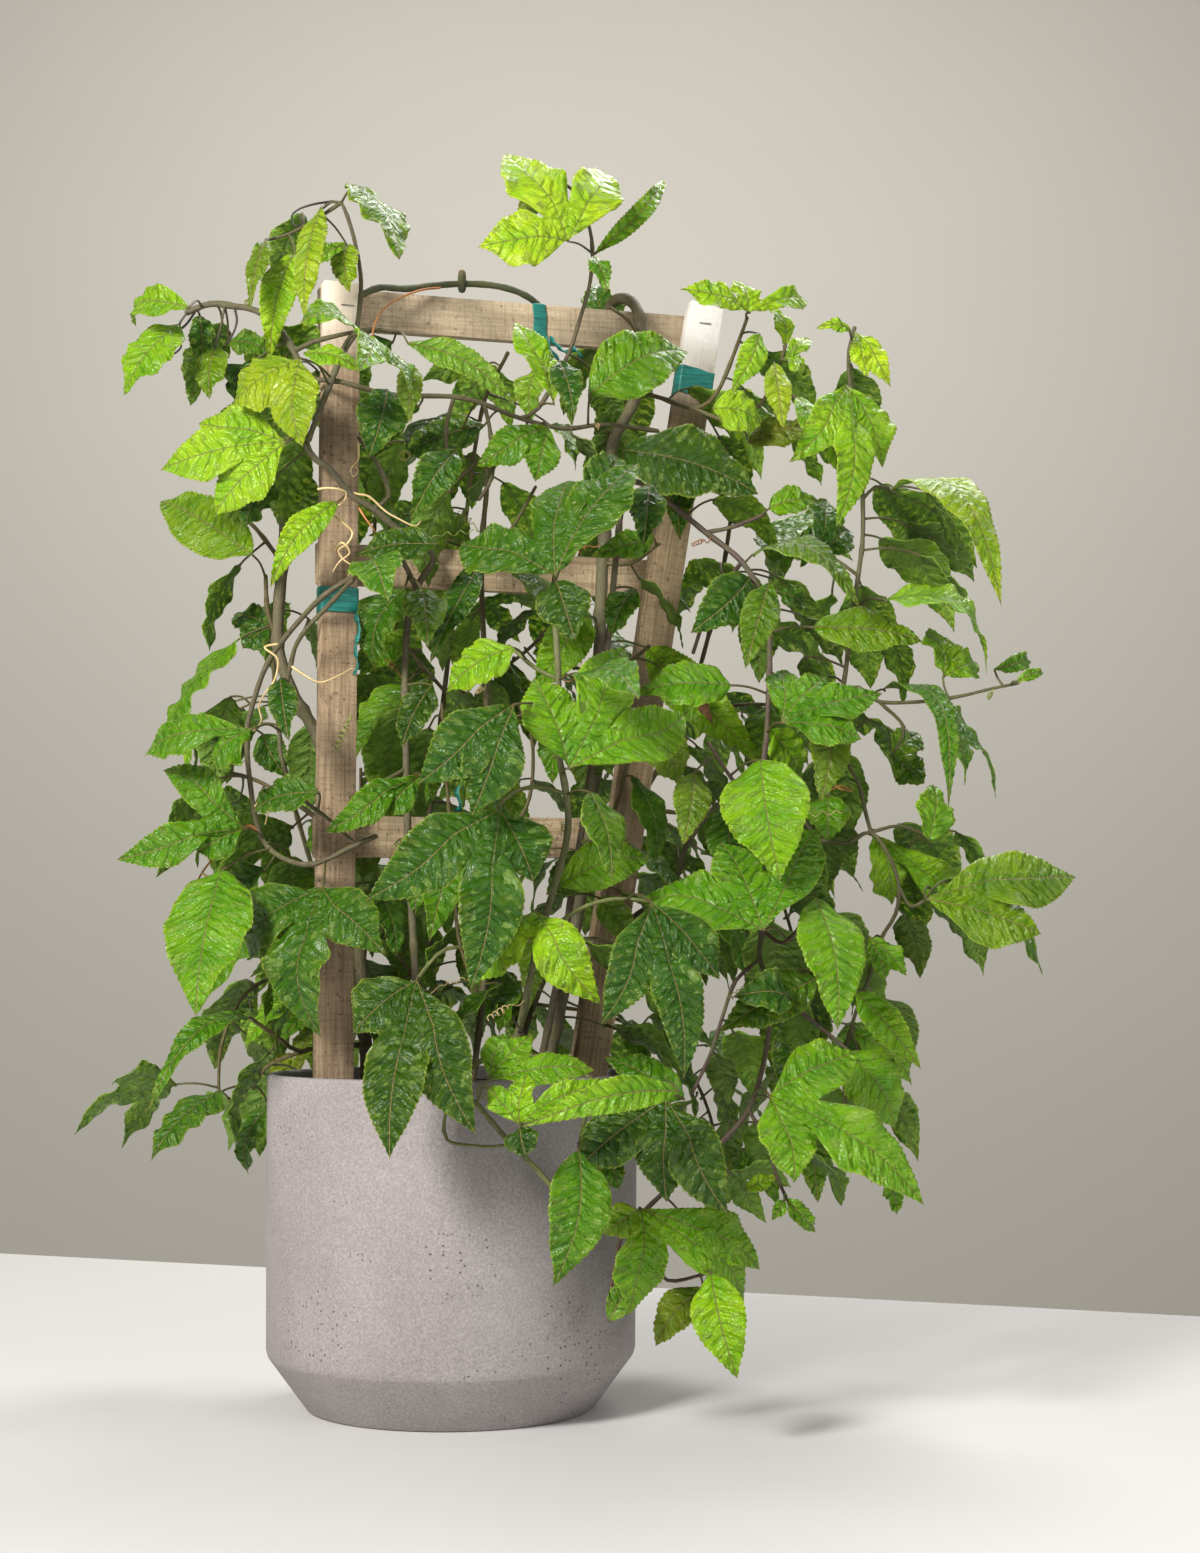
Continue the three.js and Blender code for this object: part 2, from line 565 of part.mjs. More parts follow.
// ---- The leaves that show in front ----
// [x, z, place, width, [tip x, tip z], ...]: the base, F for before its stem, M for beside it or
// B for behind it, then the leaf's age (D dark, M full, V vivid, L light, Y young, O olive,
// P seen from below), A for one that arches, and the width of its lobes.

const LEAVES = [
  [77, 630, 'FD', 42, [-1, 664], [82, 718], [139, 722]],
  [88, 480, 'FV', 44, [63, 553], [137, 580], [186, 530]],
  [237, 356, 'FV', 40, [146, 391], [205, 428], [283, 442]],
  [236, 487, 'FV', 64, [250, 396]],
  [35, 448, 'FD', 46, [-66, 386], [15, 315], [62, 395]],
  [-28, 318, 'FD', 44, [-78, 281], [-50, 187], [12, 213]],
  [-101, 389, 'FD', 42, [-169, 339], [-114, 280], [-59, 341]],
  [152, 377, 'FD', 34, [116, 288], [180, 246], [205, 320]],
  [162, 228, 'FD', 40, [92, 176], [162, 157], [209, 148]],
  [143, 146, 'FV', 36, [141, 68], [230, 76], [240, 102]],
  [241, 231, 'FL', 40, [262, 170], [362, 156], [309, 267]],
  [362, 380, 'FL', 44, [451, 356], [485, 410]],
  [319, 431, 'FY', 30, [343, 378], [408, 345]],
  [277, 381, 'FL', 46, [297, 288]],
  [196, 97, 'FL', 38, [215, 20]],
  [96, 189, 'FM', 43, [81, 91]],
  [252, 516, 'FV', 28, [259, 563], [288, 561], [331, 542], [315, 507]],
  [148, 574, 'FL', 40, [236, 491]],
  [104, 773, 'FM', 52, [185, 815]],
  [130, 729, 'FD', 55, [235, 701]],
  [87, 895, 'FY', 42, [20, 896], [42, 975], [119, 965]],
  [-132, 735, 'FY', 38, [-188, 680], [-233, 718], [-204, 755]],
  [-122, 802, 'FY', 36, [-177, 768], [-128, 742]],
  [-161, 434, 'FM', 30, [-226, 484], [-261, 414], [-198, 417]],
  [-178, 402, 'FL', 62, [-202, 300]],
  [62, 371, 'FY', 38, [14, 316], [108, 306]],
  [80, 391, 'FL', 36, [156, 414]],
  [27, 243, 'FY', 22, [37, 283], [60, 278], [108, 254]],
  [51, 208, 'FL', 18, [28, 241], [53, 250], [116, 248]],
  [305, 780, 'FL', 30, [266, 726], [303, 675], [335, 718]],
  [339, 698, 'FLA', 34, [426, 622]],
  [333, 611, 'FLA', 32, [421, 572]],
  [46, 530, 'FD', 44, [-28, 473], [14, 447]],
  [-158, 647, 'FL', 48, [-235, 695]],
  [104, 598, 'MV', 36, [64, 541]],
  [213, 545, 'FV', 34, [142, 545]],
  [46, 574, 'FL', 30, [-8, 541]],
  [-92, 688, 'ML', 24, [-144, 626]],
  [-217, 829, 'FL', 32, [-263, 779]],
  [-210, 842, 'FM', 24, [-266, 839]],
  [-201, 836, 'MD', 20, [-200, 793]],
  [-188, 811, 'MM', 26, [-195, 773]],
  [-160, 798, 'MD', 22, [-177, 770]],
  [-178, 815, 'MP', 20, [-146, 808]],
  [-107, 922, 'FY', 22, [-123, 838]],
  [-127, 886, 'ML', 28, [-146, 808]],
  [-150, 896, 'MO', 16, [-165, 849]],
  [-86, 892, 'ML', 22, [-85, 856]],
  [-86, 892, 'MM', 14, [-117, 874]],
  [-119, 806, 'FY', 16, [-76, 797]],
  [-142, 705, 'MD', 32, [-164, 668]],
  [-54, 777, 'MD', 40, [-68, 728]],
  [-36, 797, 'MP', 20, [-37, 755]],
  [-50, 815, 'MD', 18, [-66, 800]],
  [-38, 814, 'FP', 22, [47, 771]],
  [22, 749, 'MD', 28, [-47, 725]],
  [0, 728, 'MD', 32, [-32, 680]],
  [72, 748, 'MM', 28, [16, 720], [62, 706]],
  [65, 948, 'MO', 18, [49, 890]],
  [108, 885, 'MM', 16, [170, 957]],
  [106, 883, 'MM', 16, [118, 859]],
  [117, 815, 'MD', 26, [111, 868], [127, 860], [145, 828]],
  [76, 765, 'FL', 24, [48, 838], [70, 815]],
  [80, 800, 'MD', 24, [92, 760]],
  [64, 794, 'MP', 24, [55, 755]],
  [200, 762, 'FY', 32, [241, 752]],
  [228, 735, 'MO', 24, [279, 751]],
  [228, 838, 'FL', 20, [179, 861], [223, 866], [280, 857]],
  [237, 821, 'MY', 22, [217, 779]],
  [248, 798, 'MY', 20, [255, 749]],
  [257, 812, 'MY', 14, [248, 846]],
  [256, 801, 'MY', 14, [277, 820], [273, 795]],
  [311, 823, 'MY', 18, [321, 788], [340, 786]],
  [308, 824, 'MY', 10, [284, 828]],
  [265, 771, 'ML', 26, [302, 715]],
  [243, 683, 'MM', 22, [281, 694]],
  [280, 647, 'MD', 30, [262, 655], [291, 694], [311, 668]],
  [230, 647, 'MMA', 22, [314, 614]],
  [417, 557, 'MM', 14, [449, 570]],
  [434, 548, 'MY', 9, [458, 556]],
  [277, 590, 'ML', 32, [362, 583]],
  [377, 551, 'ML', 26, [372, 592], [406, 570]],
  [-142, 590, 'MD', 24, [-173, 603], [-165, 575]],
  [-156, 511, 'FM', 30, [-243, 493], [-190, 484]],
  [-148, 507, 'MD', 26, [-130, 475]],
  [-135, 550, 'MD', 22, [-130, 506]],
  [-104, 462, 'MD', 26, [-156, 448]],
  [-24, 475, 'FM', 26, [-100, 436], [-59, 445]],
  [-15, 655, 'MD', 26, [-80, 650]],
  [-40, 620, 'MD', 32, [-70, 563]],
  [-35, 587, 'ML', 20, [-75, 555]],
  [78, 626, 'MD', 40, [92, 582]],
  [100, 690, 'MD', 36, [130, 730]],
  [18, 638, 'MD', 24, [-20, 572]],
  [-18, 545, 'MD', 26, [-42, 498]],
  [150, 517, 'FO', 34, [178, 469]],
  [184, 477, 'MO', 28, [177, 426]],
  [139, 620, 'MD', 24, [120, 583]],
  [154, 660, 'MM', 22, [108, 650]],
  [150, 702, 'MD', 28, [146, 658]],
  [180, 705, 'MD', 22, [172, 663]],
  [228, 628, 'MD', 40, [186, 590]],
  [243, 625, 'MM', 28, [225, 562]],
  [250, 618, 'MD', 18, [274, 607]],
  [331, 542, 'MMA', 22, [386, 466]],
  [336, 490, 'MM', 26, [359, 512], [362, 470]],
  [243, 510, 'ML', 28, [272, 473]],
  [288, 514, 'MO', 30, [284, 460]],
  [288, 459, 'MM', 34, [287, 425]],
  [365, 425, 'ML', 30, [374, 470]],
  [317, 352, 'ML', 18, [331, 320], [347, 323]],
  [308, 309, 'MV', 26, [357, 256]],
  [304, 278, 'MY', 24, [355, 241]],
  [278, 319, 'MM', 36, [204, 283]],
  [258, 305, 'MD', 32, [220, 308]],
  [300, 263, 'FY', 44, [341, 208]],
  [268, 222, 'MM', 30, [278, 152]],
  [300, 205, 'MY', 16, [324, 166]],
  [330, 165, 'ML', 14, [338, 143]],
  [222, 160, 'MY', 12, [246, 170]],
  [253, 153, 'MY', 14, [279, 128]],
  [252, 152, 'MY', 10, [243, 138]],
  [-145, 402, 'MD', 24, [-176, 378]],
  [-156, 290, 'FMA', 20, [-234, 234]],
  [-117, 249, 'BO', 22, [-141, 257], [-106, 289]],
  [-140, 222, 'BD', 24, [-163, 174]],
  [-31, 411, 'MM', 20, [-30, 368]],
  [110, 410, 'MD', 32, [70, 385]],
  [111, 381, 'MP', 24, [139, 349]],
  [60, 362, 'BO', 26, [58, 302]],
  [51, 207, 'FD', 24, [56, 184]],
  [172, 234, 'FY', 24, [62, 210]],
  [176, 228, 'MM', 28, [116, 264]],
  [50, 203, 'FO', 12, [-6, 193]],
  [112, 184, 'MM', 18, [128, 160]],
  [141, 145, 'MY', 26, [115, 127]],
  [190, 86, 'MO', 28, [151, 45]],
  [119, 62, 'MP', 20, [142, 96]],
];

// ---- Room: what the stems and leaves keep clear of ----

const grid = new Map();
const cell = (value) => Math.floor(value / CELL) + 200;
const cellKey = (x, y, z) => (x * 512 + y) * 512 + z;

function mark(point, owner) {
  const [x, y, z] = [cell(point.x), cell(point.y), cell(point.z)];
  for (let i = -1; i <= 1; i += 1) {
    for (let j = -1; j <= 1; j += 1) {
      for (let k = -1; k <= 1; k += 1) {
        const key = cellKey(x + i, y + j, z + k);
        grid.set(key, (grid.get(key) || 0) | owner);
      }
    }
  }
}

const owners = (point) => grid.get(cellKey(cell(point.x), cell(point.y), cell(point.z))) || 0;

const inBox = (a, b, z, reachA, reachB, reachZ) =>
  Math.abs(a) < reachA + WOOD_CLEARANCE
  && Math.abs(b) < reachB + WOOD_CLEARANCE
  && Math.abs(z) < reachZ + WOOD_CLEARANCE;

function meetsHolder(point) {
  if (point.z < FLOOR_CLEARANCE) return true;
  const nearPot = point.z < POT.height + POT_CLEARANCE;
  if (nearPot && Math.hypot(point.x, point.y) < POT.rimRadius + POT_CLEARANCE) return true;
  const local = point.clone().sub(trellisPoint(0, 0, 0));
  const a = local.dot(along);
  const b = local.dot(back);
  const half = LATH.width / 2;
  if (inBox(a, b, point.z - 400, half, LATH.depth / 2, 448)) return true;
  if (inBox(a - rightLathAlong(point.z), b, point.z - 400, half, LATH.depth / 2, 460)) return true;
  return BARS.some(({ left, right }) => {
    const end = rightLathAlong(right) + half;
    const level = left + (right - left) * a / end;
    const middle = (end - half) / 2;
    const below = point.z - level;
    return inBox(a - middle, b - barBack, below, middle + half, BAR.depth / 2, BAR.height / 2);
  });
}

// ---- Stems ----

const STEM_STEP = 60;
const FINE_STEP = 6;

const vines = VINES.map(({ name, stems }, number) => ({
  name,
  bit: 2 ** number,
  stems: stems.map(([start, end, ...places]) => ({
    start,
    end,
    line: smoothLine(places.map(([x, z, depth]) => sight(x, z, depth)), STEM_STEP),
  })),
  leaves: [],
}));

const holds = [];
vines.forEach((vine) => {
  vine.stems.forEach((stem) => {
    walk(stem.line, FINE_STEP).forEach((point) => {
      mark(point, vine.bit);
      const overPot = Math.hypot(point.x, point.y) < POT.rimRadius + POT_CLEARANCE;
      if (point.z > POT.height + 12 || !overPot) holds.push({ point, vine });
    });
  });
});

// ---- Placing the leaves ----

function ageShape(age) {
  if (age === 'Y') return { fold: 0.3, wave: 1.6 };
  if (age === 'D') return { fold: 0.16, wave: 2.4 };
  return { fold: 0.22, wave: 2.2 };
}

function makeLeaf(row, base, normal, tips, halves, arch, age) {
  const middle = new THREE.Vector3();
  tips.forEach((tip) => middle.add(tip.clone().sub(base).normalize()));
  const sideways = new THREE.Vector3().crossVectors(normal, middle);
  const swing = (lobe) => {
    const rib = lobe.tip.clone().sub(base);
    return Math.atan2(rib.dot(sideways), rib.dot(middle));
  };
  const lobes = tips.map((tip, i) => ({ tip, half: halves[i] })).sort((a, b) => swing(a) - swing(b));
  return { row, base, normal, lobes, arch, ...ageShape(age) };
}

const radians = THREE.MathUtils.degToRad;

function facing(turn, tilt) {
  return vec(
    Math.sin(turn) * Math.cos(tilt),
    -Math.cos(turn) * Math.cos(tilt),
    Math.sin(tilt),
  );
}

function seenLeaf(row, depth) {
  const [x, z, place, width, ...tips] = LEAVES[row];
  const arched = place.length > 2;
  const tilt = radians(arched ? 52 : 16 + 10 * chance(row, 2) + spread(row, 1, 12));
  const turn = radians((x - 60) / 16 + spread(row, 3, 24));
  const normal = facing(turn, tilt);
  const base = sight(x, z, depth);
  const view = base.clone().sub(EYE).normalize();
  const points = tips.map(([tipX, tipZ]) => {
    const ray = vec(tipX, 0, tipZ).sub(EYE);
    return EYE.clone().addScaledVector(ray, normal.dot(base.clone().sub(EYE)) / normal.dot(ray));
  });
  const halves = points.map((tip) => {
    const across = new THREE.Vector3().crossVectors(normal, tip.clone().sub(base).normalize());
    const shown = Math.sqrt(1 - across.dot(view) ** 2);
    return width / 2 / Math.max(shown, 0.65);
  });
  const arch = arched ? 0.24 : 0.05 + 0.07 * chance(row, 4);
  return makeLeaf(row, base, normal, points, halves, arch, place[1]);
}

function bladeSamples(leaf) {
  const samples = [];
  leaf.lobes.forEach((lobe, i) => {
    const length = lobe.tip.distanceTo(leaf.base);
    const rows = Math.ceil(length / SAMPLE);
    const columns = Math.ceil(lobe.half * 1.1 / SAMPLE);
    for (let k = 1; k <= rows; k += 1) {
      for (let j = -columns; j <= columns; j += 1) {
        const side = j < 0 ? -1 : 1;
        samples.push(bladePoint(leaf, i, side, k / rows, Math.abs(j) / columns));
      }
    }
  });
  return samples;
}

// The leaf's stalk, from the middle of a stem to the base of the blade, with one bend.
function stalkLine(leaf, start) {
  const bow = start.clone().add(leaf.base).multiplyScalar(0.5);
  bow.z += 0.1 * start.distanceTo(leaf.base);
  bow.addScaledVector(leaf.normal, -2);
  return [start, bow, leaf.base];
}

function stalkSamples(line) {
  const samples = [];
  for (let i = 0; i < 2; i += 1) {
    const steps = Math.ceil(line[i].distanceTo(line[i + 1]) / SAMPLE) + 1;
    for (let k = 1; k <= steps; k += 1) samples.push(line[i].clone().lerp(line[i + 1], k / steps));
  }
  return samples;
}

function stalkFor(leaf, longest) {
  const near = holds
    .map((hold, order) => ({ hold, order, reach: hold.point.distanceTo(leaf.base) }))
    .filter(({ reach }) => reach > 5 && reach < longest)
    .sort((a, b) => a.reach - b.reach || a.order - b.order)
    .slice(0, 24);
  for (const { hold } of near) {
    const line = stalkLine(leaf, hold.point);
    const samples = stalkSamples(line);
    const clear = samples.every((p) => (owners(p) & ~hold.vine.bit) === 0 && !meetsHolder(p));
    if (clear) return { vine: hold.vine, line, samples };
  }
  return null;
}

function settle(leaves, longest) {
  for (const leaf of leaves) {
    const samples = bladeSamples(leaf);
    if (samples.some((p) => owners(p) !== 0 || meetsHolder(p))) continue;
    const stalk = stalkFor(leaf, longest);
    if (!stalk) continue;
    samples.forEach((p) => mark(p, stalk.vine.bit));
    stalk.samples.forEach((p) => mark(p, stalk.vine.bit));
    stalk.vine.leaves.push({ ...leaf, stalk: stalk.line });
    return true;
  }
  return false;
}

const sightPlane = (point) => {
  const scale = -EYE.y / (point.y - EYE.y);
  return [EYE.x + (point.x - EYE.x) * scale, EYE.z + (point.z - EYE.z) * scale];
};

const SLIDE = 6;
const SLIDES = 16;
const LONGEST_STALK = 85;
const LONGEST_WILD_STALK = 60;
// How much a stem that lies deeper is passed over for a nearer one, by the leaf's place.
const DEEPER = { F: 0.3, M: 0.12, B: 0 };
const START_DEPTH = { F: -24, M: -8, B: 16 };

function slideDepths(place, depth) {
  const depths = [depth];
  const first = place === 'F' ? -SLIDE : SLIDE;
  for (let k = 1; k <= SLIDES; k += 1) depths.push(depth + first * k, depth - first * k);
  return depths;
}

LEAVES.forEach(([x, z, place], row) => {
  let nearest = holds[0];
  let reach = Infinity;
  holds.forEach((hold) => {
    const [holdX, holdZ] = sightPlane(hold.point);
    const away = Math.hypot(holdX - x, holdZ - z) + DEEPER[place[0]] * (hold.point.y + 200);
    if (away < reach - 1e-6) [nearest, reach] = [hold, away];
  });
  const start = nearest.point.y + START_DEPTH[place[0]];
  const leaves = slideDepths(place[0], start).map((depth) => seenLeaf(row, depth));
  settle(leaves, LONGEST_STALK);
});

// Leaves that grow where the front view doesn't reach, by rule along the stems.

function wildLeaf(row, hold, heading, attempt) {
  const outwards = Math.atan2(hold.y - 10, hold.x - 70);
  const swing = (heading ? 1 : -1) * (0.5 + 0.9 * chance(row, 5)) + spread(row, 10 + attempt, 1.1);
  const azimuth = outwards + swing;
  const droop = radians(22 + 40 * chance(row, 6) + spread(row, 40 + attempt, 14));
  const roll = spread(row, 7, 0.6);
  const away = vec(Math.cos(azimuth), Math.sin(azimuth), 0);
  const base = hold.clone().addScaledVector(away, 18 + 20 * chance(row, 8) + 2 * attempt);
  base.z += 8 - 2 * attempt;
  const rib = away.clone().multiplyScalar(Math.cos(droop));
  rib.z = -Math.sin(droop);
  const normal = away.clone().multiplyScalar(Math.sin(droop));
  normal.z = Math.cos(droop);
  normal.applyAxisAngle(rib, roll);
  const length = 62 + 44 * chance(row, 9);
  const lobed = chance(row, 11) < 0.22;
  const angles = lobed ? [-0.72, 0, 0.72] : [0];
  const tips = angles.map((angle) => base.clone().addScaledVector(
    rib.clone().applyAxisAngle(normal, angle),
    length * (angle ? 0.8 : 1),
  ));
  const half = length * (lobed ? 0.17 : 0.22 + 0.05 * chance(row, 12));
  return makeLeaf(row, base, normal, tips, tips.map(() => half), 0.07, 'M');
}

let wildRow = WILD.firstRow;
vines.forEach((vine) => {
  vine.stems.forEach((stem) => {
    const spacing = vine.name.startsWith('vine_back') ? WILD.spacing : WILD.sparse;
    walk(stem.line, spacing).forEach((point, i) => {
      const overPot = Math.hypot(point.x, point.y) < POT.rimRadius + 20;
      if (overPot && point.z < WILD.firstHeight) return;
      wildRow += 1;
      const row = wildRow;
      const leaves = [];
      for (let attempt = 0; attempt < WILD.tries; attempt += 1) {
        leaves.push(wildLeaf(row, point, i % 2 === 0, attempt));
      }
      settle(leaves, LONGEST_WILD_STALK);
    });
  });
});

// ---- The vines as solids ----

function stemGeometries(vine) {
  return vine.stems.map(({ line, start, end }, i) => {
    const sides = start > 4 ? 5 : 4;
    return tubeGeometry(line, start, end, start > 2.5 ? sides : 3, i === 0 ? 1 : BRANCH_ROOT);
  });
}

function vineSolid(vine) {
  const parts = [...stemGeometries(vine)];
  vine.leaves.forEach((leaf) => {
    parts.push(leafGeometry(leaf));
  });
  const pieces = fuse(parts).simplify(SLIVER).decompose();
  return pieces.reduce((most, piece) => (piece.volume() > most.volume() ? piece : most));
}

// The plain hole that a vine's main stem stands in.
function stemHole(vine) {
  const { line, start } = vine.stems[0];
  return toManifold(tubeGeometry(line.slice(0, 5), start + 3 * GAP, start + 3 * GAP, 6));
}

const staples = [
  { name: 'staple_left', a: 4, z: 828 },
  { name: 'staple_right', a: rightLathAlong(842), z: 842 },
];

// Bands of stretch tape: round the laths, and round the bars at a place along them.
function barPoint({ left, right }, a) {
  const end = rightLathAlong(right) + LATH.width / 2 - 1;
  return trellisPoint(a, barBack, left + (right - left) * a / end);
}
const onRightLath = (z) => trellisPoint(rightLathAlong(z), 0, z);

const onLath = [LATH.width, LATH.depth];
const onBar = [BAR.height, BAR.depth];
const bands = [
  { name: 'tape_left', from: trellisPoint(0, 0, 593), to: trellisPoint(0, 0, 612), size: onLath },
  { name: 'tape_right', from: onRightLath(782), to: onRightLath(804), size: onLath },
  { name: 'tape_top', from: barPoint(BARS[0], 157), to: barPoint(BARS[0], 168), size: onBar },
  { name: 'tape_low', from: barPoint(BARS[2], 80), to: barPoint(BARS[2], 93), size: onBar },
];

const plant = new THREE.Group();
plant.add(named('pot', fromManifold(toManifold(potGeometry())), MATERIALS.stoneware));

let compost = toManifold(compostGeometry());
[leftLath, rightLath].forEach(([foot, top]) => {
  const below = foot.clone().addScaledVector(vec(0, 0, 1), -GAP);
  const hole = beam(below, top, LATH.width + 2 * GAP, LATH.depth + 2 * GAP);
  compost = compost.subtract(toManifold(hole));
});
vines.forEach((vine) => { compost = compost.subtract(stemHole(vine)); });
plant.add(named('compost', fromManifold(compost), MATERIALS.compost));

[['lath_left', leftLath], ['lath_right', rightLath]].forEach(([name, [foot, top]]) => {
  let lath = toManifold(beam(foot, top, LATH.width, LATH.depth));
  staples.forEach(({ a, z }) => { lath = lath.subtract(stapleGeometry(a, z, GAP)); });
  plant.add(named(name, fromManifold(lath), MATERIALS.rawWood));
});
BARS.forEach((bar) => {
  const [from, to] = barEnds(bar);
  plant.add(named(bar.name, beam(from, to, BAR.height, BAR.depth), MATERIALS.rawWood));
});
staples.forEach(({ name, a, z }) => {
  plant.add(named(name, fromManifold(stapleGeometry(a, z, 0)), MATERIALS.wire));
});

bands.forEach(({ name, from, to, size: [width, depth] }) => {
  plant.add(named(name, fromManifold(bandGeometry(from, to, width, depth)), MATERIALS.tape));
});

vines.forEach((vine) => {
  const solid = vineSolid(vine);
  plant.add(named(vine.name, fromManifold(solid), MATERIALS.foliage));
});

export default plant;
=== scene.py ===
# %% [markdown]
# # A passion flower vine in its pot
# This lesson dresses a potted climbing plant in Blender. The frame that is loaded here holds the
# plain solids of the real object: the planter, the compost, a trellis of sawn laths, the tape that
# ties the plant to it, and ten leafy vines. Each cell replaces some of them with a finer mesh that
# keeps the same place and form, or gives them a finish made of shader nodes.

# %% Load the frame
import math

import bmesh
import bpy
import numpy as np
from mathutils import Matrix, Vector, noise


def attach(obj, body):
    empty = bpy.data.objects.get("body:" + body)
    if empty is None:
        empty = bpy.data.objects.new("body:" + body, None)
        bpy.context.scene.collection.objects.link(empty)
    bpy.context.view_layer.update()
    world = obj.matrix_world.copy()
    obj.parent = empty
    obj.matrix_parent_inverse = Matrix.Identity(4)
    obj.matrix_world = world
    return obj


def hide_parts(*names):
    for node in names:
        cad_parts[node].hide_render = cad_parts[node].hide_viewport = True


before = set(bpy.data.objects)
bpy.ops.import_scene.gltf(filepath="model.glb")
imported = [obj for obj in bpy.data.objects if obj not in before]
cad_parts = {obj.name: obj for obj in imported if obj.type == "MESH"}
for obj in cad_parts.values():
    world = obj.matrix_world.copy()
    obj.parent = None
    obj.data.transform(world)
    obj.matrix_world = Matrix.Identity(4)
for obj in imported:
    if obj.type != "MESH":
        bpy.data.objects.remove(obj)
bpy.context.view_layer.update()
noise.seed_set(1)  # the vector noise would otherwise differ from run to run

# %% [markdown]
# ## Units and chance
# The plant is described in millimetres, because leaves and stems are easier to think of that way,
# and a mesh is scaled to metres when it is made. Every random-looking choice comes from `chance`,
# which gives the same number for the same pair of whole numbers, so that each run of the script
# grows the same plant. The first whole number is the row of a leaf or a stem, and the second only
# tells one choice for that row from another.

# %% Units and seeded chance
MM = 0.001
ROW_STEP, ITEM_STEP, OFFSET = 7919, 104729, 13
FACTOR, PRIME, STIRS = 16807, 2147483647, 3


def chance(row, item):
    """A number from 0 to 1 that looks random and is the same in every run."""
    state = (row * ROW_STEP + item * ITEM_STEP + OFFSET) % PRIME
    for _ in range(STIRS):
        state = state * FACTOR % PRIME
    return state / PRIME


def some(row, item, least, more):
    """A chance number from least to least + more."""
    return least + more * chance(row, item)


def spread(row, item, reach):
    """A chance number from -reach to reach."""
    return (2 * chance(row, item) - 1) * reach


print("three chance numbers", [round(chance(1, item), 3) for item in (1, 2, 3)])


# %% Short names for vectors and a hump
def vec(*values):
    return np.array(values, float)


def unit(vector):
    return vector / np.linalg.norm(vector)


def hump(share):
    """0 where the share is 0 or 1, and 1 halfway."""
    return np.maximum(0, np.sin(np.pi * share))

# %% [markdown]
# ## Places in the frame
# The whole plant is seen from one eye point, in front of the pot and a little above its rim. The
# trellis stands in an upright plane that is turned by 20 degrees, so a place on it is given by how
# far it lies along that plane and behind it, and by its height. The left upright is plumb, and the
# right one leans away from it.

# %% The eye, the pot and the trellis
EYE = vec(112, -1810, 322)
POT_HEIGHT = 248
POT_RIM = 140
TRELLIS = {"x": -85.5, "y": -50, "turn": math.radians(20)}
ALONG = vec(math.cos(TRELLIS["turn"]), math.sin(TRELLIS["turn"]), 0)
BACK = vec(-math.sin(TRELLIS["turn"]), math.cos(TRELLIS["turn"]), 0)
LATH_WIDTH, LATH_DEPTH, LATH_FOOT = 28, 14, 90
LEFT_TOP, RIGHT_TOP = 846, 858
RIGHT_FOOT_ALONG, RIGHT_TOP_ALONG = 174, 300
BAR_HEIGHT, BAR_DEPTH = 31, 9
GAP = 0.3
BAR_BACK = LATH_DEPTH / 2 + GAP + BAR_DEPTH / 2
BARS = [("bar_top", 829, 836), ("bar_middle", 632, 635), ("bar_low", 425, 429)]


def sight(x, z, depth):
    """The place that is seen at (x, z) of the plane Y = 0, a given depth behind that plane."""
    return EYE + (vec(x, 0, z) - EYE) * (1 + depth / -EYE[1])


def seen_at(points):
    """The (x, z) of the plane Y = 0 at which each of some points is seen."""
    scale = -EYE[1] / (points[:, 1] - EYE[1])
    return EYE[[0, 2]] + (points[:, [0, 2]] - EYE[[0, 2]]) * scale[:, None]


def trellis_point(a, b, z):
    """The place at height z that lies a along the trellis and b behind it."""
    return vec(TRELLIS["x"], TRELLIS["y"], z) + ALONG * a + BACK * b


def right_lath_along(z):
    """How far along the trellis the middle of the leaning upright is at a height."""
    share = (z - LATH_FOOT) / (RIGHT_TOP - LATH_FOOT)
    return RIGHT_FOOT_ALONG + (RIGHT_TOP_ALONG - RIGHT_FOOT_ALONG) * share


print("foot of the left upright", trellis_point(0, 0, LATH_FOOT).round(1))

# %% [markdown]
# ## The rows that the plant grows from
# A place is written as (x, z, depth): where it is seen on the upright plane through the middle of
# the pot, and how far it lies behind that plane. A stem is a start radius, an end radius and its
# places. The first stem of a vine stands in the compost, and the others branch from it.

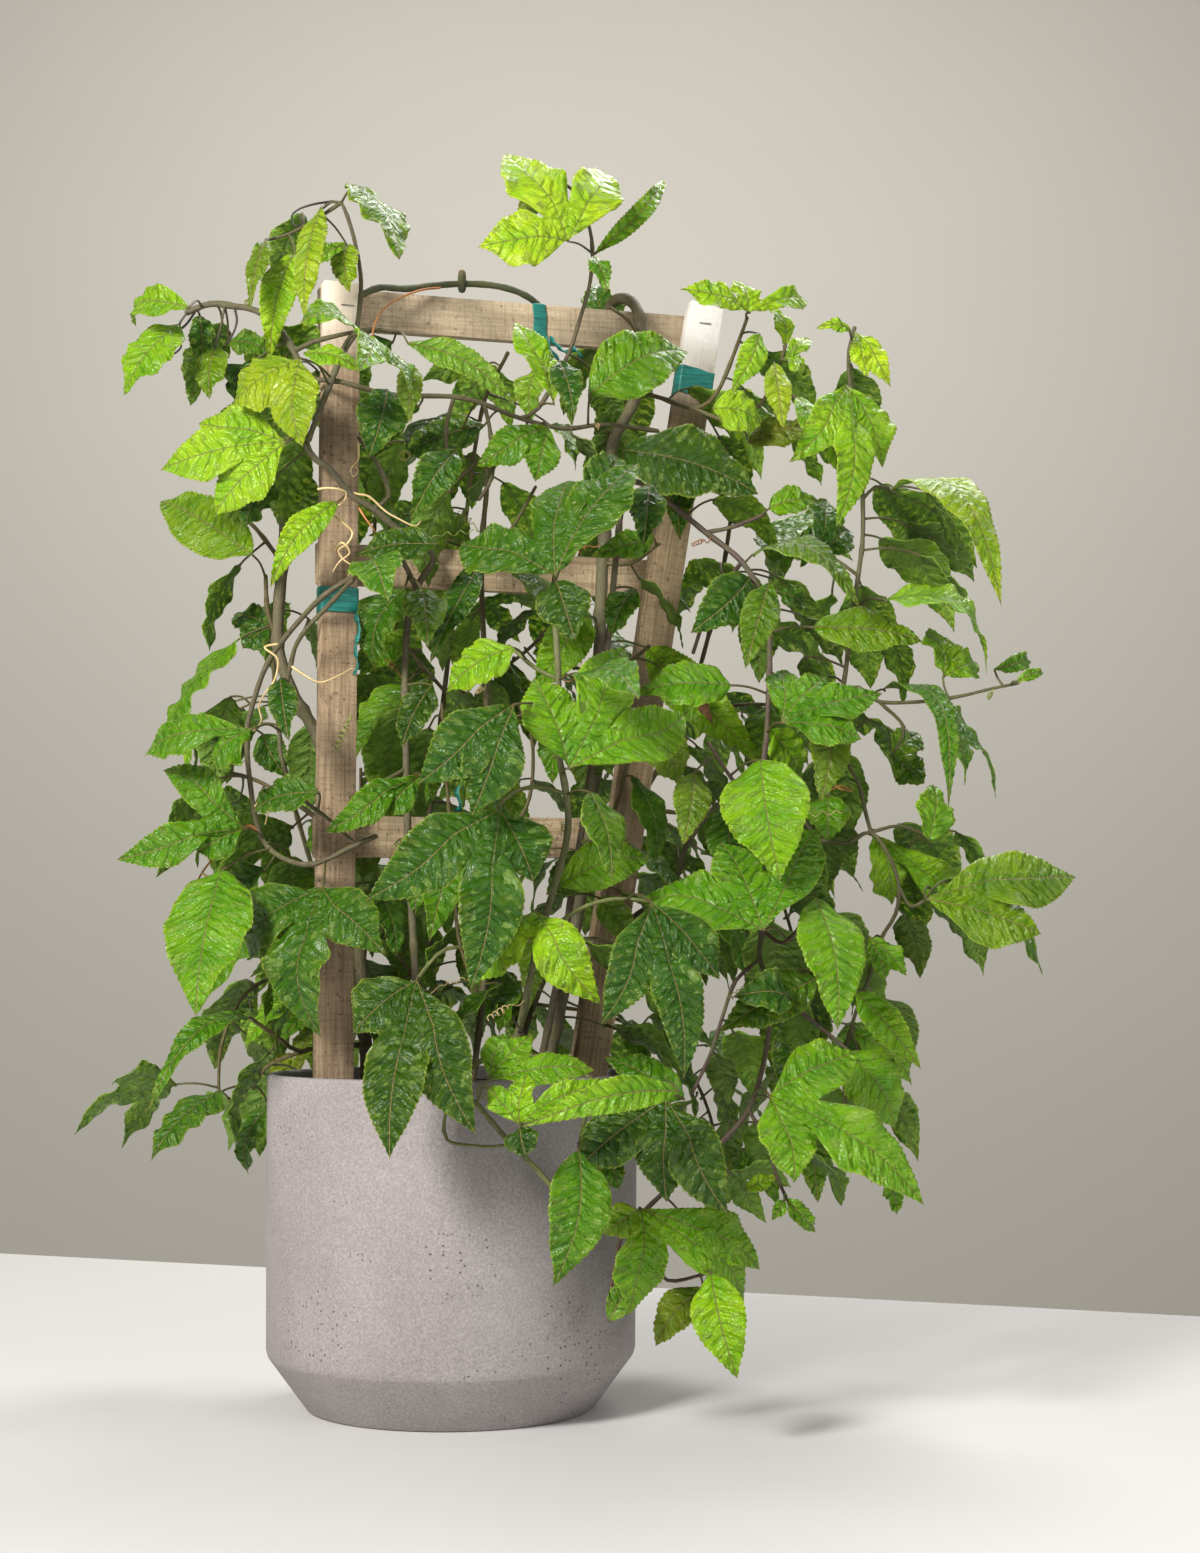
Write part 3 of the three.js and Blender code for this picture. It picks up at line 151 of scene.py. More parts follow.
# %% The stems
VINES = [
  ("vine_trunk", [
    [6, 5, [-62, 190, 30], [-66, 260, 28], [-72, 340, 18], [-88, 430, 2], [-104, 500, -8],
      [-126, 541, -12], [-137, 580, -12], [-134, 640, -12], [-131, 690, -12], [-129, 736, -12]],
    [2.6, 2, [-137, 580, -12], [-145, 602, -16], [-147, 630, -20]],
    [2.6, 1.8, [-67, 268, 27], [-92, 270, 20], [-117, 264, 5], [-130, 272, 0], [-143, 281, -6],
      [-156, 290, -10]],
    [2.2, 1.8, [-92, 270, 20], [-120, 262, 40], [-142, 252, 60], [-152, 236, 66]],
    [2.6, 1.8, [-88, 430, 2], [-120, 452, 10], [-150, 470, 14], [-176, 478, 10]],
    [2.4, 1.8, [-134, 640, -12], [-156, 668, 0], [-176, 684, 6]],
  ]),
  ("vine_left", [
    [3.6, 3, [-28, 190, -28], [-28, 300, -40], [-34, 400, -46], [-37, 480, -46], [-38, 577, -46],
      [-30, 620, -48], [-17, 645, -52], [-41, 663, -60], [-65, 683, -72], [-82, 694, -78],
      [-97, 713, -78], [-114, 727, -74], [-119, 755, -66], [-119, 785, -62], [-127, 807, -62],
      [-142, 829, -60], [-158, 840, -58], [-174, 843, -56], [-193, 845, -54], [-211, 838, -52]],
    [2.6, 2.4, [-30, 620, -48], [-46, 645, -62], [-76, 631, -78], [-101, 615, -80],
      [-117, 599, -72], [-135, 577, -60], [-147, 557, -56], [-156, 529, -54], [-160, 509, -54],
      [-158, 476, -54], [-150, 432, -58], [-136, 414, -68], [-114, 406, -78], [-98, 410, -82],
      [-80, 419, -84], [-60, 428, -84]],
    [2.3, 1.8, [-76, 631, -78], [-98, 607, -90], [-119, 583, -86], [-127, 560, -76],
      [-135, 505, -72], [-127, 470, -74], [-111, 452, -82], [-95, 440, -86], [-76, 422, -84]],
    [2.6, 2, [-119, 785, -62], [-91, 783, -76], [-52, 773, -64], [-2, 771, -50], [22, 765, -44],
      [50, 754, -36], [84, 746, -26], [116, 749, -22], [157, 744, -16]],
    [2.4, 1.8, [-127, 807, -62], [-111, 815, -72], [-83, 822, -78], [-66, 825, -72],
      [-44, 822, -64]],
    [2.4, 1.6, [-78, 823, -76], [-75, 862, -72], [-81, 898, -68], [-91, 926, -66],
      [-99, 927, -66], [-107, 921, -66]],
    [2, 1.5, [-91, 926, -66], [-112, 912, -56], [-134, 900, -50], [-150, 896, -48]],
    [3.6, 2.6, [-78, 823, -76], [-88, 808, -80], [-102, 772, -82], [-115, 737, -76]],
    [2.2, 1.6, [50, 754, -36], [64, 762, -34], [86, 802, -28], [96, 832, -24], [104, 861, -22],
      [106, 890, -22], [102, 912, -24], [92, 935, -26], [70, 948, -28]],
    [2, 1.8, [-2, 771, -50], [-8, 745, -56], [-6, 720, -58], [-4, 696, -56]],
    [2, 1.8, [22, 765, -44], [27, 740, -52], [28, 708, -56], [18, 690, -56]],
    [2.4, 2, [-65, 683, -72], [-52, 692, -66], [-60, 716, -62], [-76, 739, -60]],
    [2.2, 1.8, [-37, 480, -46], [-55, 470, -56], [-80, 458, -70]],
  ]),
  ("vine_woody", [
    [4.2, 3.6, [56, 190, -16], [82, 300, -14], [102, 420, -10], [110, 540, -8], [114, 640, -6],
      [121, 728, 4], [130, 751, 10], [141, 775, 16], [144, 815, 22], [142, 838, 30],
      [133, 849, 44], [122, 846, 60], [114, 826, 68]],
    [2.4, 1.8, [141, 775, 16], [160, 770, 4], [185, 762, -10], [203, 774, -22], [221, 817, -30],
      [227, 834, -32]],
    [2, 1.6, [185, 762, -10], [212, 752, -26], [236, 764, -34], [250, 790, -36],
      [257, 812, -36]],
    [2, 1.6, [144, 815, 22], [134, 832, 8], [120, 842, 0]],
    [2.2, 1.8, [110, 540, -8], [132, 560, -22], [150, 575, -34]],
    [2.2, 1.8, [102, 420, -10], [124, 450, -30], [134, 486, -40], [150, 512, -44]],
    [2.2, 1.8, [114, 640, -6], [136, 640, -16], [158, 655, -22]],
  ]),
  ("vine_right", [
    [3.4, 2.2, [52, 190, -42], [76, 300, -48], [96, 420, -50], [114, 540, -50], [124, 640, -44],
      [130, 690, -34], [140, 704, -28], [165, 688, -26], [194, 664, -34], [222, 641, -44],
      [238, 612, -54], [243, 580, -60], [241, 514, -72], [238, 480, -76], [243, 446, -80],
      [240, 400, -84], [236, 356, -86], [234, 334, -88], [243, 308, -90], [238, 262, -94],
      [225, 220, -96], [200, 191, -98], [180, 172, -100], [162, 159, -102], [141, 139, -106],
      [127, 122, -108]],
    [2.2, 1.8, [194, 664, -34], [214, 668, -40], [240, 678, -44]],
    [2.2, 1.8, [222, 641, -44], [208, 622, -30], [194, 599, -24], [184, 570, -22]],
    [2.2, 1.6, [243, 446, -80], [222, 462, -88], [208, 480, -92], [196, 500, -92]],
    [2, 1.6, [243, 308, -90], [262, 296, -98], [280, 282, -100], [302, 264, -98]],
    [2, 1.6, [236, 356, -86], [252, 346, -96], [267, 362, -100], [276, 378, -100]],
    [2, 1.6, [225, 220, -96], [238, 196, -104], [246, 170, -106], [253, 154, -106]],
    [2, 1.5, [141, 139, -106], [150, 112, -112], [163, 92, -114], [193, 97, -116]],
    [2, 1.5, [127, 122, -108], [122, 96, -112], [118, 66, -114]],
    [1.9, 1.5, [234, 334, -88], [216, 318, -84], [208, 298, -82], [196, 262, -86],
      [182, 232, -90]],
  ]),
  ("vine_right_high", [
    [3.2, 2, [56, 190, 44], [78, 290, 56], [112, 345, 58], [146, 372, 46], [170, 395, 24],
      [178, 420, 8], [200, 450, -8], [230, 462, -22], [262, 446, -30], [284, 424, -34],
      [287, 470, -30], [285, 507, -28], [299, 541, -28], [306, 592, -30], [312, 630, -32],
      [316, 664, -34], [315, 717, -36], [310, 760, -38], [306, 800, -40], [311, 826, -42]],
    [2, 1.4, [299, 541, -28], [312, 543, -30], [327, 532, -34], [361, 532, -38],
      [389, 536, -40], [414, 542, -42], [434, 546, -42]],
    [2, 1.6, [284, 424, -34], [302, 423, -40], [320, 431, -46], [334, 412, -54],
      [341, 389, -58], [338, 368, -60], [326, 348, -60], [318, 322, -60], [306, 290, -62],
      [299, 263, -64], [298, 232, -68], [302, 206, -70], [326, 168, -72]],
    [2, 1.6, [320, 431, -46], [316, 446, -42], [311, 468, -40], [302, 487, -40],
      [306, 505, -42]],
    [1.8, 1.5, [341, 389, -58], [350, 374, -66], [362, 380, -70]],
    [1.8, 1.5, [320, 431, -46], [342, 436, -40], [364, 428, -38]],
    [1.8, 1.5, [316, 690, -35], [326, 700, -42], [339, 698, -48]],
    [1.8, 1.5, [307, 600, -30], [320, 612, -40], [333, 611, -46]],
    [1.8, 1.4, [312, 630, -32], [296, 642, -24], [280, 648, -20]],
    [1.8, 1.4, [327, 532, -34], [346, 512, -30], [338, 492, -28]],
  ]),
  ("vine_front", [
    [3.4, 2.8, [28, 190, -74], [46, 262, -92], [66, 350, -112], [86, 423, -122], [86, 460, -124],
      [80, 492, -124], [78, 521, -124], [80, 549, -122], [78, 584, -118], [77, 628, -112],
      [92, 660, -100], [100, 690, -90]],
    [2, 1.7, [66, 350, -112], [96, 372, -124], [124, 380, -132], [150, 378, -136]],
    [2, 1.7, [66, 350, -112], [44, 344, -124], [20, 343, -134], [-5, 342, -142],
      [-18, 331, -146], [-27, 319, -148]],
    [2, 1.7, [86, 460, -124], [66, 466, -126], [46, 462, -128], [34, 450, -130]],
    [2, 1.7, [46, 262, -92], [72, 258, -118], [112, 238, -146], [100, 212, -152],
      [96, 190, -154]],
    [2, 1.7, [112, 238, -146], [140, 240, -138], [164, 231, -134]],
    [2.6, 2.4, [46, 262, -92], [20, 256, -126], [4, 238, -148], [20, 222, -152],
      [39, 200, -154], [57, 182, -156], [71, 167, -156], [98, 134, -156]],
    [1.6, 1.4, [4, 238, -148], [-6, 214, -150], [-4, 197, -152], [14, 193, -156],
      [39, 193, -162], [53, 206, -164]],
    [2, 1.7, [80, 549, -122], [62, 558, -116], [46, 572, -108]],
  ]),
  ("vine_inner", [
    [3.2, 2.4, [8, 190, -8], [22, 300, -22], [30, 420, -26], [24, 540, -26], [20, 640, -26],
      [24, 700, -26], [22, 722, -28], [2, 706, -26], [-18, 690, -24]],
    [2, 1.6, [30, 420, -26], [56, 452, -32], [60, 500, -34], [50, 528, -36]],
    [2, 1.6, [22, 300, -22], [4, 350, -30], [0, 410, -34], [-6, 470, -30], [-10, 530, -24]],
    [2, 1.6, [20, 640, -26], [44, 668, -30], [62, 700, -32]],
  ]),
  ("vine_back", [
    [3.2, 2, [-4, 190, 60], [-14, 300, 72], [-20, 420, 80], [-8, 540, 84], [6, 660, 84],
      [20, 760, 76], [40, 806, 68]],
    [2, 1.6, [-14, 300, 72], [-50, 350, 86], [-70, 410, 96], [-72, 480, 104]],
    [2, 1.6, [-8, 540, 84], [-40, 580, 92], [-62, 640, 96], [-60, 710, 90]],
    [2, 1.6, [-8, 540, 84], [40, 560, 100], [80, 600, 108], [100, 660, 104]],
  ]),
  ("vine_back_right", [
    [3.2, 2, [30, 190, 84], [62, 300, 104], [100, 380, 124], [140, 450, 140], [176, 520, 144],
      [200, 600, 132], [214, 680, 110], [216, 740, 84]],
    [2, 1.6, [140, 450, 140], [190, 440, 130], [240, 400, 110], [262, 340, 90],
      [270, 280, 70], [262, 220, 50]],
    [2, 1.6, [62, 300, 104], [120, 290, 136], [170, 262, 140], [196, 214, 130],
      [200, 160, 120]],
    [2, 1.6, [176, 520, 144], [230, 530, 110], [276, 520, 70], [300, 490, 40]],
  ]),
  ("vine_back_left", [
    [3, 2, [-44, 190, 70], [-72, 300, 100], [-104, 390, 116], [-130, 480, 110],
      [-140, 560, 90], [-136, 640, 66]],
    [2, 1.6, [-72, 300, 100], [-120, 320, 110], [-156, 310, 96], [-176, 270, 84],
      [-178, 220, 80]],
    [2, 1.6, [-104, 390, 116], [-60, 440, 140], [-10, 470, 150], [50, 470, 156]],
  ]),
]
print("stems", sum(len(stems) for _, stems in VINES), "in", len(VINES), "vines")

# %% [markdown]
# ## The leaves that show in front
# A leaf row is the (x, z) of its base, then F, M or B for before, beside or behind its stem with a
# letter for its age, then the width of its lobes and the place of each tip. The ages are D dark,
# M full, V vivid, L light, Y young, O olive and P seen from below, and A marks a leaf that arches.

# %% Rows of leaves
LEAVES = [
  [77, 630, "FD", 42, [-1, 664], [82, 718], [139, 722]],
  [88, 480, "FV", 44, [63, 553], [137, 580], [186, 530]],
  [237, 356, "FV", 40, [146, 391], [205, 428], [283, 442]],
  [236, 487, "FV", 64, [250, 396]],
  [35, 448, "FD", 46, [-66, 386], [15, 315], [62, 395]],
  [-28, 318, "FD", 44, [-78, 281], [-50, 187], [12, 213]],
  [-101, 389, "FD", 42, [-169, 339], [-114, 280], [-59, 341]],
  [152, 377, "FD", 34, [116, 288], [180, 246], [205, 320]],
  [162, 228, "FD", 40, [92, 176], [162, 157], [209, 148]],
  [143, 146, "FV", 36, [141, 68], [230, 76], [240, 102]],
  [241, 231, "FL", 40, [262, 170], [362, 156], [309, 267]],
  [362, 380, "FL", 44, [451, 356], [485, 410]],
  [319, 431, "FY", 30, [343, 378], [408, 345]],
  [277, 381, "FL", 46, [297, 288]],
  [196, 97, "FL", 38, [215, 20]],
  [96, 189, "FM", 43, [81, 91]],
  [252, 516, "FV", 28, [259, 563], [288, 561], [331, 542], [315, 507]],
  [148, 574, "FL", 40, [236, 491]],
  [104, 773, "FM", 52, [185, 815]],
  [130, 729, "FD", 55, [235, 701]],
  [87, 895, "FY", 42, [20, 896], [42, 975], [119, 965]],
  [-132, 735, "FY", 38, [-188, 680], [-233, 718], [-204, 755]],
  [-122, 802, "FY", 36, [-177, 768], [-128, 742]],
  [-161, 434, "FM", 30, [-226, 484], [-261, 414], [-198, 417]],
  [-178, 402, "FL", 62, [-202, 300]],
  [62, 371, "FY", 38, [14, 316], [108, 306]],
  [80, 391, "FL", 36, [156, 414]],
  [27, 243, "FY", 22, [37, 283], [60, 278], [108, 254]],
  [51, 208, "FL", 18, [28, 241], [53, 250], [116, 248]],
  [305, 780, "FL", 30, [266, 726], [303, 675], [335, 718]],
  [339, 698, "FLA", 34, [426, 622]],
  [333, 611, "FLA", 32, [421, 572]],
  [46, 530, "FD", 44, [-28, 473], [14, 447]],
  [-158, 647, "FL", 48, [-235, 695]],
  [104, 598, "MV", 36, [64, 541]],
  [213, 545, "FV", 34, [142, 545]],
  [46, 574, "FL", 30, [-8, 541]],
  [-92, 688, "ML", 24, [-144, 626]],
  [-217, 829, "FL", 32, [-263, 779]],
  [-210, 842, "FM", 24, [-266, 839]],
  [-201, 836, "MD", 20, [-200, 793]],
  [-188, 811, "MM", 26, [-195, 773]],
  [-160, 798, "MD", 22, [-177, 770]],
  [-178, 815, "MP", 20, [-146, 808]],
  [-107, 922, "FY", 22, [-123, 838]],
  [-127, 886, "ML", 28, [-146, 808]],
  [-150, 896, "MO", 16, [-165, 849]],
  [-86, 892, "ML", 22, [-85, 856]],
  [-86, 892, "MM", 14, [-117, 874]],
  [-119, 806, "FY", 16, [-76, 797]],
  [-142, 705, "MD", 32, [-164, 668]],
  [-54, 777, "MD", 40, [-68, 728]],
  [-36, 797, "MP", 20, [-37, 755]],
  [-50, 815, "MD", 18, [-66, 800]],
  [-38, 814, "FP", 22, [47, 771]],
  [22, 749, "MD", 28, [-47, 725]],
  [0, 728, "MD", 32, [-32, 680]],
  [72, 748, "MM", 28, [16, 720], [62, 706]],
  [65, 948, "MO", 18, [49, 890]],
  [108, 885, "MM", 16, [170, 957]],
  [106, 883, "MM", 16, [118, 859]],
  [117, 815, "MD", 26, [111, 868], [127, 860], [145, 828]],
  [76, 765, "FL", 24, [48, 838], [70, 815]],
  [80, 800, "MD", 24, [92, 760]],
  [64, 794, "MP", 24, [55, 755]],
  [200, 762, "FY", 32, [241, 752]],
  [228, 735, "MO", 24, [279, 751]],
  [228, 838, "FL", 20, [179, 861], [223, 866], [280, 857]],
  [237, 821, "MY", 22, [217, 779]],
  [248, 798, "MY", 20, [255, 749]],
  [257, 812, "MY", 14, [248, 846]],
  [256, 801, "MY", 14, [277, 820], [273, 795]],
  [311, 823, "MY", 18, [321, 788], [340, 786]],
  [308, 824, "MY", 10, [284, 828]],
  [265, 771, "ML", 26, [302, 715]],
  [243, 683, "MM", 22, [281, 694]],
  [280, 647, "MD", 30, [262, 655], [291, 694], [311, 668]],
  [230, 647, "MMA", 22, [314, 614]],
  [417, 557, "MM", 14, [449, 570]],
  [434, 548, "MY", 9, [458, 556]],
  [277, 590, "ML", 32, [362, 583]],
  [377, 551, "ML", 26, [372, 592], [406, 570]],
  [-142, 590, "MD", 24, [-173, 603], [-165, 575]],
  [-156, 511, "FM", 30, [-243, 493], [-190, 484]],
  [-148, 507, "MD", 26, [-130, 475]],
  [-135, 550, "MD", 22, [-130, 506]],
  [-104, 462, "MD", 26, [-156, 448]],
  [-24, 475, "FM", 26, [-100, 436], [-59, 445]],
  [-15, 655, "MD", 26, [-80, 650]],
  [-40, 620, "MD", 32, [-70, 563]],
  [-35, 587, "ML", 20, [-75, 555]],
  [78, 626, "MD", 40, [92, 582]],
  [100, 690, "MD", 36, [130, 730]],
  [18, 638, "MD", 24, [-20, 572]],
  [-18, 545, "MD", 26, [-42, 498]],
  [150, 517, "FO", 34, [178, 469]],
  [184, 477, "MO", 28, [177, 426]],
  [139, 620, "MD", 24, [120, 583]],
  [154, 660, "MM", 22, [108, 650]],
  [150, 702, "MD", 28, [146, 658]],
  [180, 705, "MD", 22, [172, 663]],
  [228, 628, "MD", 40, [186, 590]],
  [243, 625, "MM", 28, [225, 562]],
  [250, 618, "MD", 18, [274, 607]],
  [331, 542, "MMA", 22, [386, 466]],
  [336, 490, "MM", 26, [359, 512], [362, 470]],
  [243, 510, "ML", 28, [272, 473]],
  [288, 514, "MO", 30, [284, 460]],
  [288, 459, "MM", 34, [287, 425]],
  [365, 425, "ML", 30, [374, 470]],
  [317, 352, "ML", 18, [331, 320], [347, 323]],
  [308, 309, "MV", 26, [357, 256]],
  [304, 278, "MY", 24, [355, 241]],
  [278, 319, "MM", 36, [204, 283]],
  [258, 305, "MD", 32, [220, 308]],
  [300, 263, "FY", 44, [341, 208]],
  [268, 222, "MM", 30, [278, 152]],
  [300, 205, "MY", 16, [324, 166]],
  [330, 165, "ML", 14, [338, 143]],
  [222, 160, "MY", 12, [246, 170]],
  [253, 153, "MY", 14, [279, 128]],
  [252, 152, "MY", 10, [243, 138]],
  [-145, 402, "MD", 24, [-176, 378]],
  [-156, 290, "FMA", 20, [-234, 234]],
  [-117, 249, "BO", 22, [-141, 257], [-106, 289]],
  [-140, 222, "BD", 24, [-163, 174]],
  [-31, 411, "MM", 20, [-30, 368]],
  [110, 410, "MD", 32, [70, 385]],
  [111, 381, "MP", 24, [139, 349]],
  [60, 362, "BO", 26, [58, 302]],
  [51, 207, "FD", 24, [56, 184]],
  [172, 234, "FY", 24, [62, 210]],
  [176, 228, "MM", 28, [116, 264]],
  [50, 203, "FO", 12, [-6, 193]],
  [112, 184, "MM", 18, [128, 160]],
  [141, 145, "MY", 26, [115, 127]],
  [190, 86, "MO", 28, [151, 45]],
  [119, 62, "MP", 20, [142, 96]],
]
print("leaves that show in front", len(LEAVES))

# %% [markdown]
# ## Growing the plant
# A stem is a smooth line through its places. Each leaf is set where it is seen, and then slid along
# its line of sight until its blade and stalk touch nothing that grew before it. The room that is
# taken is kept in a grid of small cells, each holding one bit for every vine that passes near.

# %% Smooth lines
def smooth_line(points, spacing):
    """Points on a Catmull-Rom curve, about a given spacing apart."""
    ends = [2 * points[0] - points[1]] + list(points) + [2 * points[-1] - points[-2]]
    line = [points[0]]
    for i in range(len(points) - 1):
        p0, p1, p2, p3 = ends[i:i + 4]
        leave, arrive = 0.5 * (p2 - p0), 0.5 * (p3 - p1)
        steps = max(1, math.floor(np.linalg.norm(p2 - p1) / spacing + 0.5))
        for k in range(1, steps + 1):
            t = k / steps
            bend = (-3 * p1 + 3 * p2 - 2 * leave - arrive) * t * t
            line.append(p1 + leave * t + bend + (2 * p1 - 2 * p2 + leave + arrive) * t ** 3)
    return line


def walk(line, step):
    """Points along a line of straight stretches, a fixed step apart."""
    points, rest = [line[0]], step
    for here, there in zip(line, line[1:]):
        length = np.linalg.norm(there - here)
        gone = rest
        while gone <= length:
            points.append(here + (there - here) * (gone / length))
            gone += step
        rest = gone - length
    return points


# %% Room
CELL, ROOM_CELLS = 6, 240
ROOM_START = vec(80, 80, 20)
room = np.zeros((ROOM_CELLS, ROOM_CELLS, ROOM_CELLS), np.uint16)


def cells(points):
    """The numbers of the cells that hold some points."""
    return (np.floor(np.atleast_2d(points) / CELL) + ROOM_START).astype(int)


def mark(points, owner):
    """Gives the cells of some points, and those next to them, to a vine."""
    spots = np.unique(cells(points), axis=0)
    for i in (-1, 0, 1):
        for j in (-1, 0, 1):
            for k in (-1, 0, 1):
                room[spots[:, 0] + i, spots[:, 1] + j, spots[:, 2] + k] |= np.uint16(owner)


def owners(points):
    spots = cells(points)
    return room[spots[:, 0], spots[:, 1], spots[:, 2]]


print("cells of room", room.size)

# %% What the plant must keep clear of
FLOOR_CLEARANCE, POT_CLEARANCE, WOOD_CLEARANCE = 6, 5, 4.5
LATH_MIDDLE, LEFT_REACH, RIGHT_REACH = 400, 448, 460


def over_pot(point, extra):
    """Whether a point lies above the pot, or within an extra distance of its rim."""
    return math.hypot(point[0], point[1]) < POT_RIM + extra


def in_box(a, b, z, reach_a, reach_b, reach_z):
    return ((np.abs(a) < reach_a + WOOD_CLEARANCE) & (np.abs(b) < reach_b + WOOD_CLEARANCE)
            & (np.abs(z) < reach_z + WOOD_CLEARANCE))


def meets_holder(points):
    """Whether any point lies in the floor, the planter or the trellis, or too near them."""
    points = np.atleast_2d(points)
    x, y, z = points.T
    met = z < FLOOR_CLEARANCE
    met |= (z < POT_HEIGHT + POT_CLEARANCE) & (np.hypot(x, y) < POT_RIM + POT_CLEARANCE)
    local = points - trellis_point(0, 0, 0)
    a, b = local @ ALONG, local @ BACK
    half = LATH_WIDTH / 2
    met |= in_box(a, b, z - LATH_MIDDLE, half, LATH_DEPTH / 2, LEFT_REACH)
    met |= in_box(a - right_lath_along(z), b, z - LATH_MIDDLE, half, LATH_DEPTH / 2, RIGHT_REACH)
    for _, left, right in BARS:
        end = right_lath_along(right) + half
        level = left + (right - left) * a / end
        middle = (end - half) / 2
        met |= in_box(a - middle, b - BAR_BACK, z - level, middle + half, BAR_DEPTH / 2,
                      BAR_HEIGHT / 2)
    return bool(met.any())


# %% The stems and what a leaf can hang on
STEM_STEP, HOLD_STEP, HOLD_RISE = 60, 6, 12
vines = []
for number, (name, stems) in enumerate(VINES):
    vine = {"name": name, "bit": 2 ** number, "leaves": [], "stems": []}
    for start, end, *places in stems:
        points = [sight(x, z, depth) for x, z, depth in places]
        vine["stems"].append({"start": start, "end": end, "points": points,
                              "line": smooth_line(points, STEM_STEP)})
    vines.append(vine)

hold_points, hold_vines = [], []
for vine in vines:
    for stem in vine["stems"]:
        for point in walk(stem["line"], HOLD_STEP):
            mark(point, vine["bit"])
            if point[2] > POT_HEIGHT + HOLD_RISE or not over_pot(point, POT_CLEARANCE):
                hold_points.append(point)
                hold_vines.append(vine)
hold_points = np.array(hold_points)
print("places to hold on", len(hold_points))

# %% [markdown]
# ## One leaf
# A passion flower leaf has one, two or three lobes, and now and then four. Each lobe has a rib from
# the stalk to its tip, and neighbouring lobes share a seam up to a notch. The blade is a flat shape
# that is then lifted along its normal: it arches from base to tip, folds along each rib, and waves
# at the margin.

# %% The ribs of a leaf
def rib_point(leaf, index, rho):
    """The place at a share of the way from the base of a leaf to the tip of a lobe."""
    return leaf["base"] + (leaf["lobes"][index][0] - leaf["base"]) * np.asarray(rho)[..., None]


def neighbour(leaf, index, side):
    """The number of the lobe next to a lobe on one side, if there is one."""
    other = index + side
    return other if 0 <= other < len(leaf["lobes"]) else None


def outward(leaf, index):
    """The way across a lobe, square to its rib and in the plane of the leaf."""
    return np.cross(leaf["normal"], unit(leaf["lobes"][index][0] - leaf["base"]))


def rib_lift(leaf, index, rho):
    """How far a rib arches above the straight line from base to tip."""
    length = np.linalg.norm(leaf["lobes"][index][0] - leaf["base"])
    return leaf["arch"] * length * 4 * rho * (1 - rho)


# %% The width of a lobe
LOBED_FORM, SIMPLE_FORM = (1.15, 0.9), (0.78, 0.85)


def lobe_share(leaf, rho):
    """The half width of a lobe at a share of its length, as a share of its widest."""
    skew, fullness = LOBED_FORM if len(leaf["lobes"]) > 1 else SIMPLE_FORM
    return hump(rho ** skew) ** fullness


# %% The blade of a leaf
NOTCH, SEAM_DIP, SEAM_BLEND = 0.38, 6, 0.13
WAVES, WAVE_CALM = 2.3, 8


def blade_points(leaf, index, side, rho, c, teeth=None, soft=False):
    """Points of one side of a lobe: rho runs from base to tip, c from rib to margin.

    A soft blade leaves the notch between two lobes in a round curve.
    """
    rho, c = np.broadcast_arrays(np.asarray(rho, float), np.asarray(c, float))
    tip, half = leaf["lobes"][index]
    rib = rib_point(leaf, index, rho)
    reach = lobe_share(leaf, rho) * half * (1 if teeth is None else teeth)
    margin = rib + outward(leaf, index) * (side * reach)[..., None]
    phase = 2 * math.pi * chance(leaf["row"], 31 + 2 * index + side)
    wave = leaf["wave"] * c * c * np.sin(2 * np.pi * WAVES * rho + phase)
    if soft:
        wave = wave * np.minimum(1, np.minimum(rho, 1 - rho) * WAVE_CALM)
    lift = rib_lift(leaf, index, rho) - leaf["fold"] * half * c * np.sin(np.pi * rho) + wave
    other = neighbour(leaf, index, side)
    if other is not None:
        free = np.clip((rho - NOTCH) / SEAM_BLEND, 0, 1) if soft else (rho > NOTCH) * 1.0
        free = free * free * (3 - 2 * free)
        seam_rho = np.minimum(rho, NOTCH) if soft else rho
        shared = 0.5 * (rib_point(leaf, index, seam_rho) + rib_point(leaf, other, seam_rho))
        margin = shared + (margin - shared) * free[..., None]
        here, there = rib_lift(leaf, index, rho), rib_lift(leaf, other, rho)
        joined = (1 - c) * here + c * (0.5 * (here + there) - SEAM_DIP * rho)
        lift = joined + (lift - joined) * free
    return rib + (margin - rib) * c[..., None] + leaf["normal"] * lift[..., None]


SAMPLE, SAMPLE_MARGIN = 4, 1.1


def blade_samples(leaf):
    """Points all over a leaf, close enough together to find what it would touch."""
    samples = []
    for index, (tip, half) in enumerate(leaf["lobes"]):
        rows = math.ceil(np.linalg.norm(tip - leaf["base"]) / SAMPLE)
        columns = math.ceil(half * SAMPLE_MARGIN / SAMPLE)
        rho = np.arange(1, rows + 1)[:, None] / rows
        c = np.arange(0, columns + 1)[None, :] / columns
        for side in (-1, 1):
            samples.append(blade_points(leaf, index, side, rho, c).reshape(-1, 3))
    return np.concatenate(samples)


# %% A leaf from its base and tips
AGE_SHAPES, USUAL_SHAPE = {"Y": (0.3, 1.6), "D": (0.16, 2.4)}, (0.22, 2.2)


def make_leaf(row, base, normal, tips, halves, arch, age):
    """A leaf as a dict, with its lobes in order across the blade."""
    middle = sum(unit(tip - base) for tip in tips)
    sideways = np.cross(normal, middle)
    fold, wave = AGE_SHAPES.get(age, USUAL_SHAPE)

    def swing(lobe):
        rib = lobe[0] - base
        return math.atan2(rib @ sideways, rib @ middle)

    return {"row": row, "base": base, "normal": normal, "arch": arch, "fold": fold, "wave": wave,
            "age": age, "lobes": sorted(zip(tips, halves), key=swing)}

